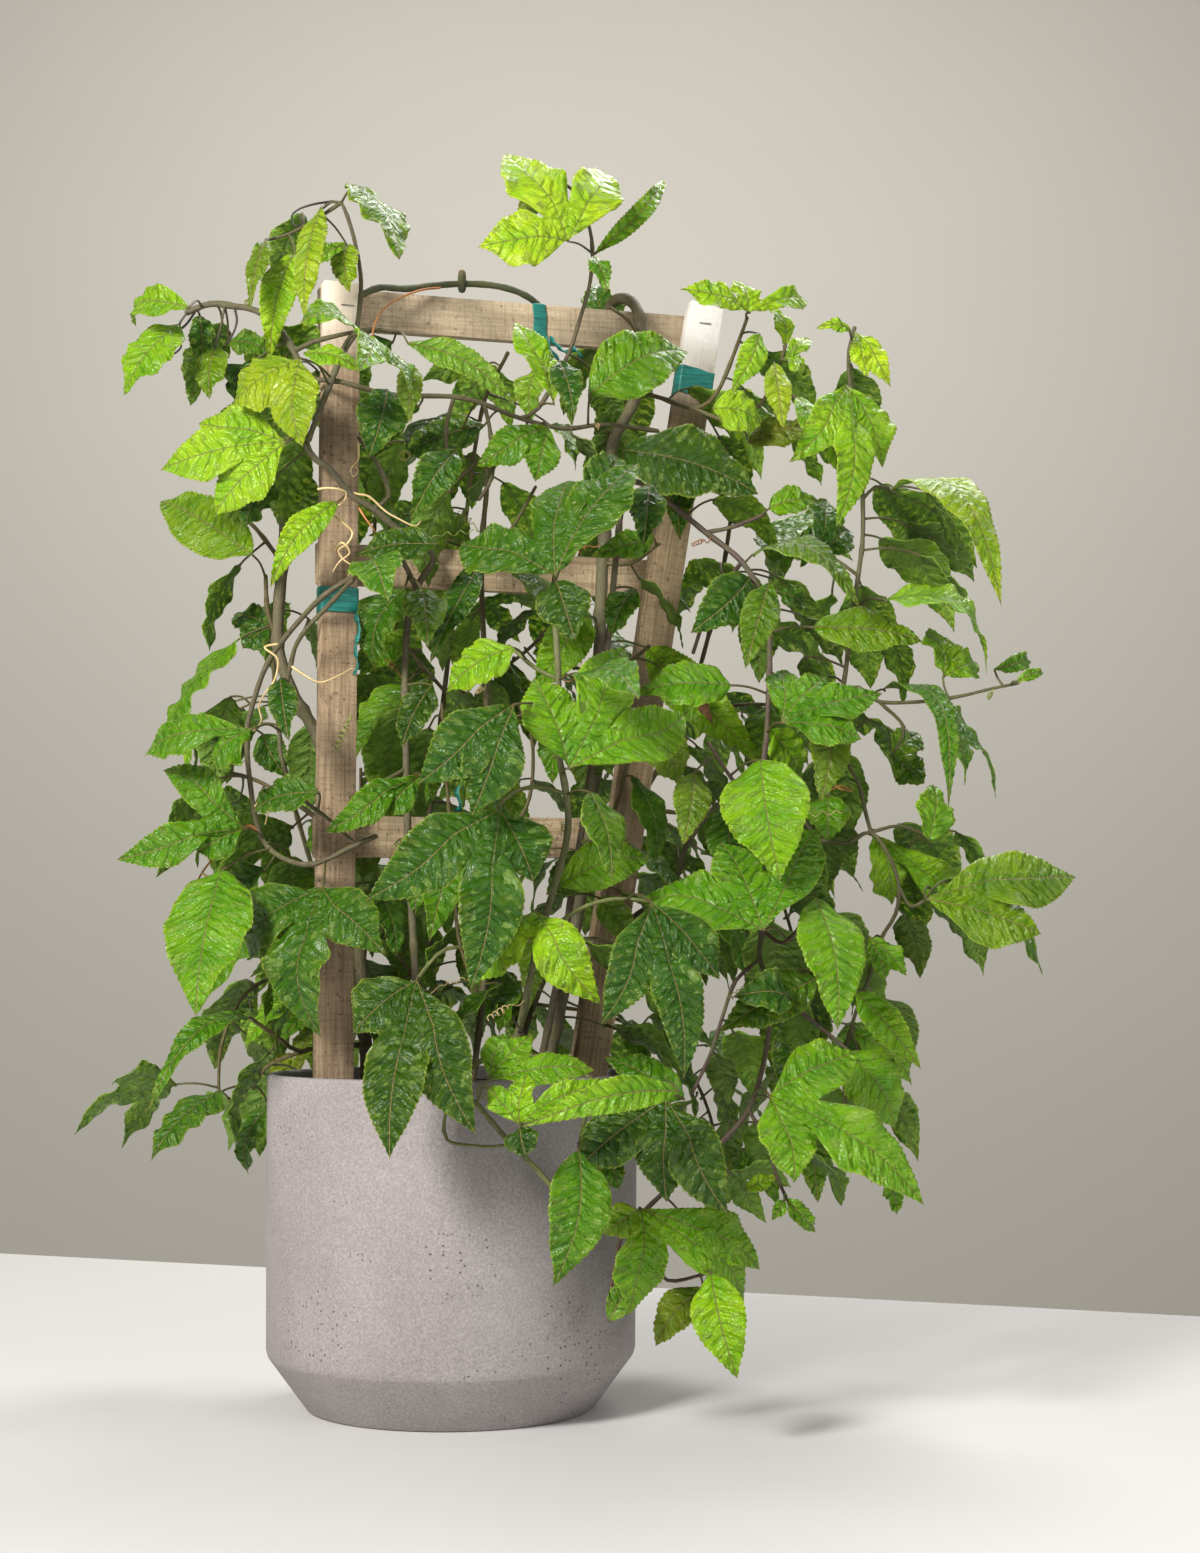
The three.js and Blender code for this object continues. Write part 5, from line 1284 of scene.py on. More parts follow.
def over(tree, colour, where, strength, paint):
    """A colour with a share of another laid over it, where a mask is bright."""
    return blend(tree, times(tree, where, strength), colour, paint)


def noisy(tree, vector, scale, detail=3.0, rough=0.55):
    made = node(tree, "ShaderNodeTexNoise", {"Vector": vector, "Scale": scale, "Detail": detail,
                                             "Roughness": rough})
    return made.outputs["Fac"]


def bumped(tree, shader, height, distance, strength=1.0):
    made = node(tree, "ShaderNodeBump", {"Height": height, "Distance": distance,
                                         "Strength": strength})
    tree.links.new(made.outputs["Normal"], shader.inputs["Normal"])


# %% The pattern of the veins
def vein_pattern(tree, uv):
    """Masks of the veins, read from the way along a lobe and the way out from its rib."""
    split = node(tree, "ShaderNodeSeparateXYZ", {"Vector": uv})
    along, across = split.outputs["X"], split.outputs["Y"]
    out = sums(tree, "ABSOLUTE", across)
    wobble = sums(tree, "SUBTRACT", noisy(tree, uv, 0.9), 0.5)
    run = sums(tree, "MULTIPLY_ADD", out, -VEIN_SLANT, along)
    phase = sums(tree, "MULTIPLY_ADD", wobble, 0.8, times(tree, run, 10 / VEIN_STEP))
    step = sums(tree, "ABSOLUTE", sums(tree, "SUBTRACT", sums(tree, "FRACT", phase), 0.5))
    net = node(tree, "ShaderNodeTexVoronoi", {"Vector": uv, "Scale": 4.5},
               feature="DISTANCE_TO_EDGE").outputs["Distance"]
    slanted = node(tree, "ShaderNodeCombineXYZ",
                   {"X": run, "Y": times(tree, across, 0.45)}).outputs[0]
    return {"step": step, "slanted": slanted, "net": ramp(tree, net, 0.07, 0.0),
            "midrib": ramp(tree, out, 0.065, 0.022),
            "side": times(tree, ramp(tree, step, 0.40, 0.475), ramp(tree, out, 1.5, 0.2)),
            "swell": times(tree, ramp(tree, step, 0.5, 0.05), ramp(tree, out, 0.0, 0.35))}


# %% The colour of a leaf
def leaf_colour(tree, place, veins, under):
    """The stored tint with patches, veins, a yellowish margin, flecks and a paler underside."""
    tint, edge = stored(tree, "tint", "Color"), stored(tree, "edge")
    patch = ramp(tree, noisy(tree, place, 38.0, 4.0), 0.35, 0.7)
    flecks = ramp(tree, noisy(tree, place, 210.0, 2.0), 0.70, 0.76)
    blotch = times(tree, ramp(tree, noisy(tree, place, 60.0, 3.0), 0.62, 0.72), 0.6)
    between = times(tree, ramp(tree, edge, 0.45, 0.95), ramp(tree, veins["step"], 0.35, 0.05))
    yellow = blend(tree, 0.25, tint, (0.56, 0.66, 0.03))
    dark = blend(tree, 1.0, tint, (0.36, 0.52, 0.8), "MULTIPLY")
    rim = blend(tree, 0.5, tint, (0.50, 0.60, 0.07))
    colour = blend(tree, patch, tint, (0.52, 0.70, 0.5), "MULTIPLY")
    colour = over(tree, colour, blotch, 0.30, yellow)
    colour = over(tree, colour, veins["net"], 0.16, yellow)
    colour = over(tree, colour, veins["side"], 0.70, dark)
    colour = over(tree, colour, between, 0.18, yellow)
    colour = over(tree, colour, ramp(tree, edge, 0.92, 0.99), 0.55, rim)
    colour = over(tree, colour, veins["midrib"], 0.75, (0.260, 0.195, 0.075))
    colour = over(tree, colour, flecks, 0.4, (0.42, 0.33, 0.08))
    return blend(tree, under, colour, blend(tree, 0.45, colour, (0.19, 0.29, 0.05)))


# %% The leaf finish
def leaf_finish():
    material, tree, shader = new_material(
        "Leaf", IOR=1.45, Specular_IOR_Level=0.42, Subsurface_Weight=0.25,
        Subsurface_Radius=(0.7, 1.0, 0.25), Subsurface_Scale=0.003)
    uv, place = surface_uv(tree), object_place(tree)
    under = ramp(tree, stored(tree, "under"), 0.3, 0.9)
    veins = vein_pattern(tree, uv)
    rough = sums(tree, "MULTIPLY_ADD", noisy(tree, place, 95.0, 3.0), 0.26, 0.165)
    rough = sums(tree, "MULTIPLY_ADD", under, 0.25, rough)
    surfaced(tree, shader, leaf_colour(tree, place, veins, under), rough)
    height = sums(tree, "MULTIPLY_ADD", veins["side"], -0.6, times(tree, veins["midrib"], -0.9))
    height = sums(tree, "MULTIPLY_ADD", veins["net"], -0.30, height)
    height = sums(tree, "MULTIPLY_ADD", veins["swell"], 0.9, height)
    height = sums(tree, "MULTIPLY_ADD", noisy(tree, veins["slanted"], 1.5, 1.5), 5.0, height)
    height = sums(tree, "MULTIPLY_ADD", noisy(tree, uv, 26.0, 2.0), 0.10, height)
    bumped(tree, shader, height, 0.0014)
    return material


# %% The stem finish
def stem_finish():
    material, tree, shader = new_material("Stem", Subsurface_Weight=0.05, Subsurface_Scale=0.001)
    uv = surface_uv(tree)
    place = object_place(tree)
    tint = stored(tree, "tint", "Color")
    bark = stored(tree, "under")
    streak = noisy(tree, scaled(tree, uv, 0.35, 3.0, 1.0), 5.0, 5.0, 0.65)
    patch = noisy(tree, place, 55.0, 4.0)
    fine = noisy(tree, place, 700.0, 3.0)
    colour = blend(tree, ramp(tree, streak, 0.38, 0.66), tint, (0.42, 0.38, 0.34), "MULTIPLY")
    green = blend(tree, ramp(tree, patch, 0.45, 0.62), colour, (0.095, 0.095, 0.028))
    colour = blend(tree, 0.6, colour, green)
    colour = over(tree, colour, ramp(tree, fine, 0.6, 0.72), 0.4, (0.30, 0.24, 0.17))
    rough = sums(tree, "MULTIPLY_ADD", bark, 0.25, sums(tree, "MULTIPLY_ADD", fine, 0.2, 0.35))
    surfaced(tree, shader, colour, rough)
    bumped(tree, shader, sums(tree, "ADD", streak, times(tree, fine, 0.4)), 0.0008, 0.8)
    return material


LEAF, STEM = leaf_finish(), stem_finish()
print("leaf nodes", len(LEAF.node_tree.nodes), "stem nodes", len(STEM.node_tree.nodes))

# %% [markdown]
# ## The vines
# Each vine becomes one piece: its blades take the leaf finish, and its stems and stalks take the
# bark finish, so the two finishes sit in two material slots of the same mesh.

# %% Grow the fine vines
def dress_vine(vine):
    store = new_store()
    for leaf in vine["leaves"]:
        add_leaf(store, leaf)
    for leaf in vine["leaves"]:
        add_stalk(store, leaf)
    for number, stem in enumerate(vine["stems"]):
        add_stem(store, stem, number + len(vine["stems"]), vine["name"])
    piece = store_object("fine_" + vine["name"], store)
    piece.data.materials.append(LEAF)
    piece.data.materials.append(STEM)
    return piece


for vine in vines:
    piece = dress_vine(vine)
    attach(piece, "root")
    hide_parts(vine["name"])

# %% [markdown]
# ## The planter
# The planter is cast from a fine cement-like mix: an upright wall that leans out very slightly, a
# chamfer down to a smaller foot. A circle is extruded and scaled ring by ring, up the outside, over
# the rim and down the inside, and a small bevel then rounds its edges as wear does.

# %% Edit-mode helpers
def start_piece(name):
    """Names the new primitive and goes into edit mode with all of it selected."""
    piece = bpy.context.object
    piece.name = piece.data.name = name
    bpy.ops.object.mode_set(mode="EDIT")
    bpy.ops.mesh.select_all(action="SELECT")
    return piece


def end_piece(piece, modifiers=()):
    """Leaves edit mode, applies the modifiers and puts the place into the mesh."""
    bpy.ops.mesh.select_all(action="SELECT")
    bpy.ops.mesh.remove_doubles(threshold=0.00001)
    bpy.ops.mesh.normals_make_consistent(inside=False)
    bpy.ops.object.mode_set(mode="OBJECT")
    for kind, settings in modifiers:
        modifier = piece.modifiers.new(kind.title(), kind)
        for key, value in settings.items():
            setattr(modifier, key, value)
        bpy.ops.object.modifier_apply(modifier=modifier.name)
    bpy.ops.object.transform_apply(location=True, rotation=True, scale=True)
    bpy.ops.object.select_all(action="DESELECT")
    return piece


def keep(piece, material, slot, *nodes):
    """Gives a piece its finish and its body, and hides the CAD nodes that it replaces. The slot is
    not used.
    """
    piece.data.materials.clear()
    piece.data.materials.append(material)
    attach(piece, "root")
    if nodes:
        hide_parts(*nodes)
    print(piece.name, len(piece.data.polygons), "faces")


# %% Rings and smooth shading
def raise_rings(radius, height, rings):
    """Extrudes the selected disc ring by ring, each one given as a radius and a height."""
    for next_radius, next_height in rings:
        rise = (0, 0, (next_height - height) * MM)
        bpy.ops.mesh.extrude_region_move(TRANSFORM_OT_translate={"value": rise})
        bpy.ops.transform.resize(value=(next_radius / radius, next_radius / radius, 1))
        radius, height = next_radius, next_height


def smooth(piece):
    for face in piece.data.polygons:
        face.use_smooth = True


def smooth_below(piece, degrees):
    """Smooth shading that keeps edges sharper than an angle crisp."""
    piece.select_set(True)
    bpy.context.view_layer.objects.active = piece
    bpy.ops.object.shade_smooth_by_angle(angle=math.radians(degrees))
    piece.select_set(False)


def rounded(width, degrees):
    """The settings of a small bevel on every edge sharper than an angle."""
    return ("BEVEL", {"width": width, "segments": 2, "limit_method": "ANGLE",
                      "angle_limit": math.radians(degrees)})


# %% The pot
POT_FOOT, POT_SIDES = 108, 128
POT_RINGS = [(120, 16.2), (131, 31), (137.2, 39.3), (138.5, 44), (139.2, 110), (139.7, 180),
             (139.99, 246), (138.6, 247.99), (134.4, 247.99), (133.0, 246), (132.0, 150),
             (131.5, 45), (103, 12)]
bpy.ops.object.select_all(action="DESELECT")
bpy.ops.mesh.primitive_circle_add(vertices=POT_SIDES, radius=POT_FOOT * MM, fill_type="NGON")
pot = start_piece("fine_pot")
raise_rings(POT_FOOT, 0, POT_RINGS)
end_piece(pot, [rounded(0.0012, 20)])
smooth_below(pot, 35)
print("pot", len(pot.data.vertices), "corners")

# %% [markdown]
# ## The finish of the planter
# The cement skin is a warm grey. Seen close it has a fine light and dark grain, open pinholes where
# air bubbles broke, darkened by painted shade, and slow cloudy marks from the mould, all of which
# are made from noise and small cells on the object's own coordinates.

# %% The cement finish
def cement_finish():
    material, tree, shader = new_material("Cement")
    place = object_place(tree)
    grain = noisy(tree, place, 540.0, 4.0, 0.75)
    clouds = noisy(tree, place, 11.0, 5.0, 0.6)
    sand = node(tree, "ShaderNodeTexVoronoi", {"Vector": place, "Scale": 520.0}).outputs
    pits = node(tree, "ShaderNodeTexVoronoi", {"Vector": place, "Scale": 330.0, "Randomness": 1.0})
    pick = node(tree, "ShaderNodeSeparateColor", {"Color": pits.outputs["Color"]}).outputs
    few = ramp(tree, pick[0], 0.72, 0.74)
    swarm = ramp(tree, noisy(tree, place, 13.0, 3.0), 0.50, 0.62)
    hole = ramp(tree, pits.outputs["Distance"], 0.30, 0.16)
    hole = times(tree, hole, times(tree, few, swarm))
    tone = blend(tree, ramp(tree, grain, 0.36, 0.68), (0.80, 0.80, 0.80), (1.20, 1.20, 1.20))
    base = blend(tree, ramp(tree, clouds, 0.3, 0.75), (0.255, 0.229, 0.224),
                 (0.318, 0.288, 0.281))
    colour = blend(tree, 1.0, base, tone, "MULTIPLY")
    speck = times(tree, ramp(tree, sand["Distance"], 0.28, 0.18), 0.22)
    colour = blend(tree, speck, colour, (0.52, 0.49, 0.47))
    # Painted shade: the pinholes are darkened to stand in for the shade inside them.
    colour = over(tree, colour, hole, 0.85, (0.075, 0.062, 0.056))
    rough = sums(tree, "MULTIPLY_ADD", grain, 0.25, 0.62)
    surfaced(tree, shader, colour, rough)
    height = sums(tree, "MULTIPLY_ADD", hole, -2.2, times(tree, grain, 0.35))
    bumped(tree, shader, height, 0.0006, 0.9)
    return material


keep(pot, cement_finish(), "planter", "pot")

# %% [markdown]
# ## The compost
# Potting mix for a climber is dark and open: crumbs, bits of bark, and white grains of perlite. The
# body fills the planter and ends in a shallow dome, whose corners are moved up and down by noise.

# %% The dome of compost
SOIL_FOOT, SOIL_FLOOR, SOIL_SIDES, SOIL_EDGE = 102, 12.4, 96, 0.2345
SOIL_RINGS = [(131, 47), (132.4, 234.5), (126, 236.5), (116, 237), (104, 237.5), (92, 238),
              (80, 238.6), (68, 239), (56, 239.4), (44, 239.8), (32, 240), (20, 240), (9, 240),
              (2, 240)]
bpy.ops.mesh.primitive_circle_add(vertices=SOIL_SIDES, radius=SOIL_FOOT * MM, fill_type="NGON",
                                  location=(0, 0, SOIL_FLOOR * MM))
compost = start_piece("fine_compost")
raise_rings(SOIL_FOOT, SOIL_FLOOR, SOIL_RINGS)
end_piece(compost, [("SUBSURF", {"levels": 1, "render_levels": 1, "subdivision_type": "SIMPLE"})])
for corner in compost.data.vertices:
    if corner.co.z > SOIL_EDGE:
        rough = noise.fractal(corner.co * 130, 1.0, 2.0, 4)
        corner.co.z += 0.0014 * rough - 0.0012
smooth(compost)
print("compost", len(compost.data.vertices), "corners")

# %% [markdown]
# ## Bark and perlite
# Loose bits lie on the compost. A bit is one small rough block, modelled once and then copied at
# many places, sizes and turns into a single mesh, so that hundreds of bits stay light.

# %% One rough block
def bit_shape():
    """One rough block, whose corners and faces every bit of bark and perlite starts from."""
    bpy.ops.mesh.primitive_cube_add(size=1.0)
    block = start_piece("bit")
    bpy.ops.mesh.subdivide(number_cuts=1)
    bpy.ops.transform.tosphere(value=0.55)
    end_piece(block)
    corners = np.array([corner.co for corner in block.data.vertices])
    corners *= 1 + 0.3 * np.array([[chance(i, 91 + k) - 0.5 for k in range(3)]
                                   for i in range(len(corners))])
    faces = np.array([list(face.vertices) for face in block.data.polygons])
    bpy.data.objects.remove(block)
    return corners, faces


# %% Many blocks
FULL_TURN, BIT_TILT = 6.283, 0.5
SCATTER_REACH, SCATTER_TOP, SCATTER_RISE, DOME_REACH = 127, 236.6, 3.2, 130


def scatter_bits(name, first, count, low, high, flatness):
    """Blocks from a low to a high size, strewn over the dome of compost."""
    corners, faces = bit_shape()
    all_corners, all_faces = [], []
    for i in range(first, first + count):
        size = low + (high - low) * chance(i, 95) ** 2
        shape = corners * vec(size * (1 + chance(i, 96)), size, size * flatness)
        turn = Matrix.Rotation(FULL_TURN * chance(i, 97), 3, "Z")
        turn = turn @ Matrix.Rotation(spread(i, 98, BIT_TILT), 3, "X")
        radius = SCATTER_REACH * math.sqrt(chance(i, 99)) - size
        angle = FULL_TURN * chance(i, 100)
        dome = SCATTER_RISE * (1 - (radius / DOME_REACH) ** 2)
        height = SCATTER_TOP + dome + size * flatness * 0.2
        centre = vec(radius * math.cos(angle), radius * math.sin(angle), height)
        all_corners.append((shape @ np.array(turn).T + centre) * MM)
        all_faces.append(faces + len(corners) * (i - first))
    mesh = bpy.data.meshes.new(name)
    mesh.from_pydata(np.concatenate(all_corners).tolist(), [], np.concatenate(all_faces).tolist())
    return linked(name, mesh)


# %% The finish of compost, bark and perlite
def compost_finish(name, dark, pale, rough):
    material, tree, shader = new_material(name)
    place = object_place(tree)
    lumps = noisy(tree, place, 190.0, 5.0, 0.7)
    fine = noisy(tree, place, 900.0, 3.0)
    crumbs = node(tree, "ShaderNodeTexVoronoi", {"Vector": place, "Scale": 260.0})
    colour = blend(tree, ramp(tree, lumps, 0.35, 0.7), dark, pale)
    tone = node(tree, "ShaderNodeSeparateColor", {"Color": crumbs.outputs["Color"]}).outputs[1]
    colour = blend(tree, times(tree, tone, 0.5), colour, (0.5, 0.45, 0.4), "MULTIPLY")
    surfaced(tree, shader, colour, rough)
    bumped(tree, shader, sums(tree, "ADD", lumps, times(tree, fine, 0.4)), 0.0015)
    return material


keep(compost, compost_finish("Compost", (0.018, 0.012, 0.008), (0.060, 0.038, 0.024), 0.95),
     "compost", "compost")
bark = scatter_bits("bark_bits", 3000, 620, 3.0, 9.0, 0.45)
keep(bark, compost_finish("Bark", (0.035, 0.019, 0.011), (0.110, 0.065, 0.038), 0.85), "compost")
perlite = scatter_bits("perlite", 5000, 150, 1.6, 3.4, 0.8)
keep(perlite, compost_finish("Perlite", (0.48, 0.46, 0.42), (0.72, 0.70, 0.66), 0.9), "compost")

# %% [markdown]
# ## The trellis
# Two uprights and three rails of rough-sawn softwood, stapled together. Sawn laths are never quite
# straight or square, so each is a bar that is cut into short lengths, nudged a little by noise, and
# given a small worn bevel. The grain runs along the lath, so the bar is modelled upright at the
# origin, keeps its long axis in a UV map, and is then laid in its place.

# %% A sawn lath
LATH_CUT, UV_SCALE, SIDE_SHIFT = 18, 10, 0.05


def sawn_lath(name, start, end, width, depth, seed):
    """A lath whose mesh runs from start to end in the plane of the trellis."""
    start, end = vec(*start), vec(*end)
    length = np.linalg.norm(end - start)
    bpy.ops.mesh.primitive_cube_add(size=1.0)
    lath = start_piece(name)
    bpy.ops.transform.resize(value=(width * MM, depth * MM, length * MM))
    for level in np.arange(-length / 2 + LATH_CUT, length / 2, LATH_CUT):
        bpy.ops.mesh.select_all(action="SELECT")
        bpy.ops.mesh.bisect(plane_co=(0, 0, level * MM), plane_no=(0, 0, 1))
    end_piece(lath, [rounded(0.0009, 60)])
    axis = unit(end - start)
    side = unit(np.cross(BACK, axis))
    basis = np.stack([side, BACK, axis], axis=1)
    middle = (start + end) / 2 * MM
    layer = lath.data.uv_layers.active or lath.data.uv_layers.new(name="surface")
    layer.name = "surface"
    for face in lath.data.polygons:
        wide = abs(face.normal.y) > abs(face.normal.x)
        for corner in face.loop_indices:
            co = lath.data.vertices[lath.data.loops[corner].vertex_index].co
            around = co.x if wide else co.y + SIDE_SHIFT
            layer.data[corner].uv = ((co.z + seed) * UV_SCALE, around * UV_SCALE)
    for corner in lath.data.vertices:
        co = np.array(corner.co)
        nudge = noise.noise_vector(Vector(co * 28) + Vector((seed * 7.0, 0, 0)))
        co[:2] = co[:2] * (1 + 0.012 * nudge[0]) - 0.0002 * np.array(nudge[:2])
        edge = 1 - 0.010 * abs(noise.noise(Vector(co * 90)))
        corner.co = basis @ (co * vec(edge, edge, 1)) + middle
    smooth_below(lath, 30)
    return lath


# %% The wood finish
def wood_finish(name, pale, brown, top_light_share, top_light_colour=(0.96, 0.83, 0.66)):
    """Sawn softwood whose top end is painted lighter by a given share, as painted light."""
    material, tree, shader = new_material(name)
    uv = surface_uv(tree)
    place = object_place(tree)
    rings = noisy(tree, scaled(tree, uv, 1.4, 34.0, 1.0), 1.0, 5.0, 0.6)
    fibre = noisy(tree, scaled(tree, uv, 9.0, 240.0, 1.0), 1.0, 3.0, 0.7)
    cuts = noisy(tree, scaled(tree, uv, 46.0, 3.0, 1.0), 1.0, 2.0)
    stain = noisy(tree, place, 16.0, 4.0, 0.6)
    specks = ramp(tree, noisy(tree, place, 300.0, 3.0), 0.60, 0.68)
    height_up = node(tree, "ShaderNodeSeparateXYZ", {"Vector": place}).outputs["Z"]
    colour = blend(tree, ramp(tree, rings, 0.36, 0.66), pale, brown)
    colour = over(tree, colour, ramp(tree, fibre, 0.5, 0.75), 0.45, (0.100, 0.062, 0.036))
    colour = over(tree, colour, ramp(tree, stain, 0.5, 0.72), 0.45, (0.145, 0.100, 0.066))
    colour = over(tree, colour, ramp(tree, cuts, 0.48, 0.66), 0.34, (0.16, 0.105, 0.062))
    colour = over(tree, colour, specks, 0.6, (0.05, 0.032, 0.02))
    # Painted light: the top few centimetres are blended toward a pale colour, which stands in for
    # the light falling on the upper ends of the wood.
    top = ramp(tree, sums(tree, "MULTIPLY_ADD", stain, 0.05, height_up), 0.79, 0.86)
    colour = over(tree, colour, top, top_light_share, top_light_colour)
    surfaced(tree, shader, colour, 0.86)
    height = sums(tree, "MULTIPLY_ADD", cuts, 0.6, times(tree, fibre, 0.9))
    bumped(tree, shader, height, 0.0009, 0.9)
    return material


# %% Uprights
# The last values of each upright give the share and the colour of the painted light on its top end.
left_wood = wood_finish("Left upright wood", (0.47, 0.345, 0.215), (0.285, 0.190, 0.110), 0.85)
right_wood = wood_finish("Right upright wood", (0.44, 0.33, 0.19), (0.25, 0.170, 0.088), 0.97,
                         (0.90, 0.87, 0.80))
left_lath = sawn_lath("fine_lath_left", trellis_point(0, 0, LATH_FOOT),
                      trellis_point(0, 0, LEFT_TOP), LATH_WIDTH, LATH_DEPTH, 0.3)
keep(left_lath, left_wood, "raw_wood", "lath_left")
right_lath = sawn_lath("fine_lath_right", trellis_point(RIGHT_FOOT_ALONG, 0, LATH_FOOT),
                       trellis_point(RIGHT_TOP_ALONG, 0, RIGHT_TOP), LATH_WIDTH, LATH_DEPTH, 1.7)
keep(right_lath, right_wood, "raw_wood", "lath_right")

# %% Rails
BAR_SHORT = 1


def bar_end(right):
    """How far along the trellis a rail ends, whose right end is at a given height."""
    return right_lath_along(right) + LATH_WIDTH / 2 - BAR_SHORT


# Of the rails, only the top one reaches the height where the wood is painted lighter.
rail_wood = wood_finish("Rail wood", (0.62, 0.48, 0.30), (0.42, 0.295, 0.170), 0.15)
for seed, (bar_name, left, right) in enumerate(BARS):
    start = trellis_point(-LATH_WIDTH / 2, BAR_BACK, left)
    end = trellis_point(bar_end(right), BAR_BACK, right)
    bar = sawn_lath("fine_" + bar_name, start, end, BAR_HEIGHT, BAR_DEPTH, 3.1 + seed)
    keep(bar, rail_wood, "raw_wood", bar_name)

# %% [markdown]
# ## Tape
# The plant is tied on with stretch tape, which is wrapped tight round the wood and creases across
# its width. A band is a box without ends that is cut into strips, creased by noise, and given a
# thickness by Solidify. Its loose ends are thin ribbons.

# %% A band of tape
STRIP, TAPE_THICKNESS = 2.2, 0.0006


def tape_band(name, foot, top, width, depth, seed):
    """A band round a box of wood, from one place on its axis to another."""
    foot, top = vec(*foot), vec(*top)
    length = np.linalg.norm(top - foot)
    bpy.ops.object.select_all(action="DESELECT")
    bpy.ops.mesh.primitive_cube_add(size=1.0)
    band = start_piece(name)
    bpy.ops.transform.resize(value=(width * MM, depth * MM, length * MM))
    bpy.ops.mesh.select_mode(type="FACE")
    bpy.ops.mesh.select_all(action="DESELECT")
    work = bmesh.from_edit_mesh(band.data)
    for face in work.faces:
        face.select = abs(face.normal.z) > 0.9
    bmesh.update_edit_mesh(band.data)
    bpy.ops.mesh.delete(type="FACE")
    for plane, reach in (((0, 0, 1), length), ((1, 0, 0), width)):
        for level in np.arange(-reach / 2 + STRIP, reach / 2, STRIP):
            bpy.ops.mesh.select_all(action="SELECT")
            bpy.ops.mesh.bisect(plane_co=tuple(level * MM * np.array(plane)), plane_no=plane)
    bpy.ops.object.mode_set(mode="OBJECT")
    axis = unit(top - foot)
    basis = np.stack([unit(np.cross(BACK, axis)), BACK, axis], axis=1)
    for corner in band.data.vertices:
        co = np.array(corner.co)
        strip = noise.noise(Vector((co[0] * 40, co[1] * 40 + seed, co[2] * 420)))
        crease = noise.noise(Vector((co[0] * 160, seed, co[2] * 260)))
        co[:2] *= 1 + 0.010 * strip + 0.012 * crease
        co[2] += 0.0012 * noise.noise(Vector((co[0] * 90 + seed, co[1] * 90, 0.0)))
        corner.co = basis @ co + (foot + top) / 2 * MM
    bpy.ops.object.mode_set(mode="EDIT")
    end_piece(band, [("SOLIDIFY", {"thickness": TAPE_THICKNESS, "offset": -1.0}),
                     ("SUBSURF", {"levels": 1, "render_levels": 1})])
    smooth(band)
    return band


# %% The tape finish
def tape_finish():
    material, tree, shader = new_material("Stretch tape")
    place = object_place(tree)
    lines = noisy(tree, scaled(tree, place, 60, 60, 900), 1.0, 3.0, 0.6)
    patch = noisy(tree, place, 90.0, 3.0)
    colour = blend(tree, ramp(tree, lines, 0.35, 0.7), (0.004, 0.105, 0.085), (0.010, 0.225, 0.180))
    colour = over(tree, colour, ramp(tree, patch, 0.55, 0.8), 0.4, (0.030, 0.320, 0.260))
    surfaced(tree, shader, colour, 0.42)
    bumped(tree, shader, lines, 0.0007)
    return material


# %% Four bands
def bar_point(bar, a):
    """A place on the axis of a rail, a given way along the trellis."""
    _, left, right = BARS[bar]
    return trellis_point(a, BAR_BACK, left + (right - left) * a / bar_end(right))


def on_right_lath(z):
    return trellis_point(right_lath_along(z), 0, z)


TAPE = tape_finish()
WRAP = 2 * (GAP + 1.0)
BANDS = [
    ("tape_left", trellis_point(0, 0, 593), trellis_point(0, 0, 612), LATH_WIDTH, LATH_DEPTH),
    ("tape_right", on_right_lath(782), on_right_lath(804), LATH_WIDTH, LATH_DEPTH),
    ("tape_top", bar_point(0, 157), bar_point(0, 168), BAR_HEIGHT, BAR_DEPTH),
    ("tape_low", bar_point(2, 80), bar_point(2, 93), BAR_HEIGHT, BAR_DEPTH),
]
for seed, (band_name, foot, top, width, depth) in enumerate(BANDS):
    band = tape_band("fine_" + band_name, foot, top, width + WRAP, depth + WRAP, 3.7 * seed)
    keep(band, TAPE, "tape", band_name)

# %% Ribbon ends
RIBBON_STEP, HALF_THICKNESS = 2.5, 0.3
RIBBON_CORNERS = ((-1, -1), (1, -1), (1, 1), (-1, 1))


def add_ribbon(store, points, width, seed):
    """A thin flat ribbon, as a tube with four sides that is wide one way and thin the other."""
    line = smooth_line([sight(*point) for point in points], RIBBON_STEP)
    ways, pairs = side_directions(line)
    rings, uvs = [], []
    for i, (across, up) in enumerate(pairs):
        half = width / 2 * (1 + spread(seed * 40 + i, 120, 0.25))
        twist = spread(seed * 40 + i // 2, 121, 0.5)
        flat = across * math.cos(twist) + up * math.sin(twist)
        thin = np.cross(ways[i], flat)
        close = 0.0 if i in (0, len(line) - 1) else 1.0
        rings.append([line[i] + (flat * a * half + thin * b * HALF_THICKNESS) * close
                      for a, b in RIBBON_CORNERS])
        uvs.append([(i * RIBBON_STEP, a) for a in range(4)])
    add_grid(store, np.array(rings), np.array(uvs), (0.01, 0.2, 0.16), 0, False, True)


RIBBONS = [
    ([(72, 819, 0), (78, 812, -6), (86, 806, -10), (92, 809, -10), (99, 801, -12)], 5),
    ([(70, 820, 0), (74, 808, -8), (80, 800, -12), (84, 791, -10)], 4),
    ([(-78, 602, -66), (-74, 588, -68), (-77, 574, -66), (-75, 560, -66), (-79, 552, -64)], 4),
    ([(-6, 412, -26), (-10, 402, -34), (-4, 392, -38), (-8, 381, -36)], 5),
    ([(0, 446, -20), (6, 452, -30), (2, 462, -34), (8, 468, -32)], 4),
]
store = new_store()
for seed, (points, width) in enumerate(RIBBONS):
    add_ribbon(store, points, width, seed)
keep(store_object("tape_ends", store), TAPE, "tape")

# %% [markdown]
# ## Staples
# The laths and rails are stapled together, and the crowns of two wire staples show near the tops of
# the uprights. Each is a thin closed tube that is bent twice and bites into the wood.

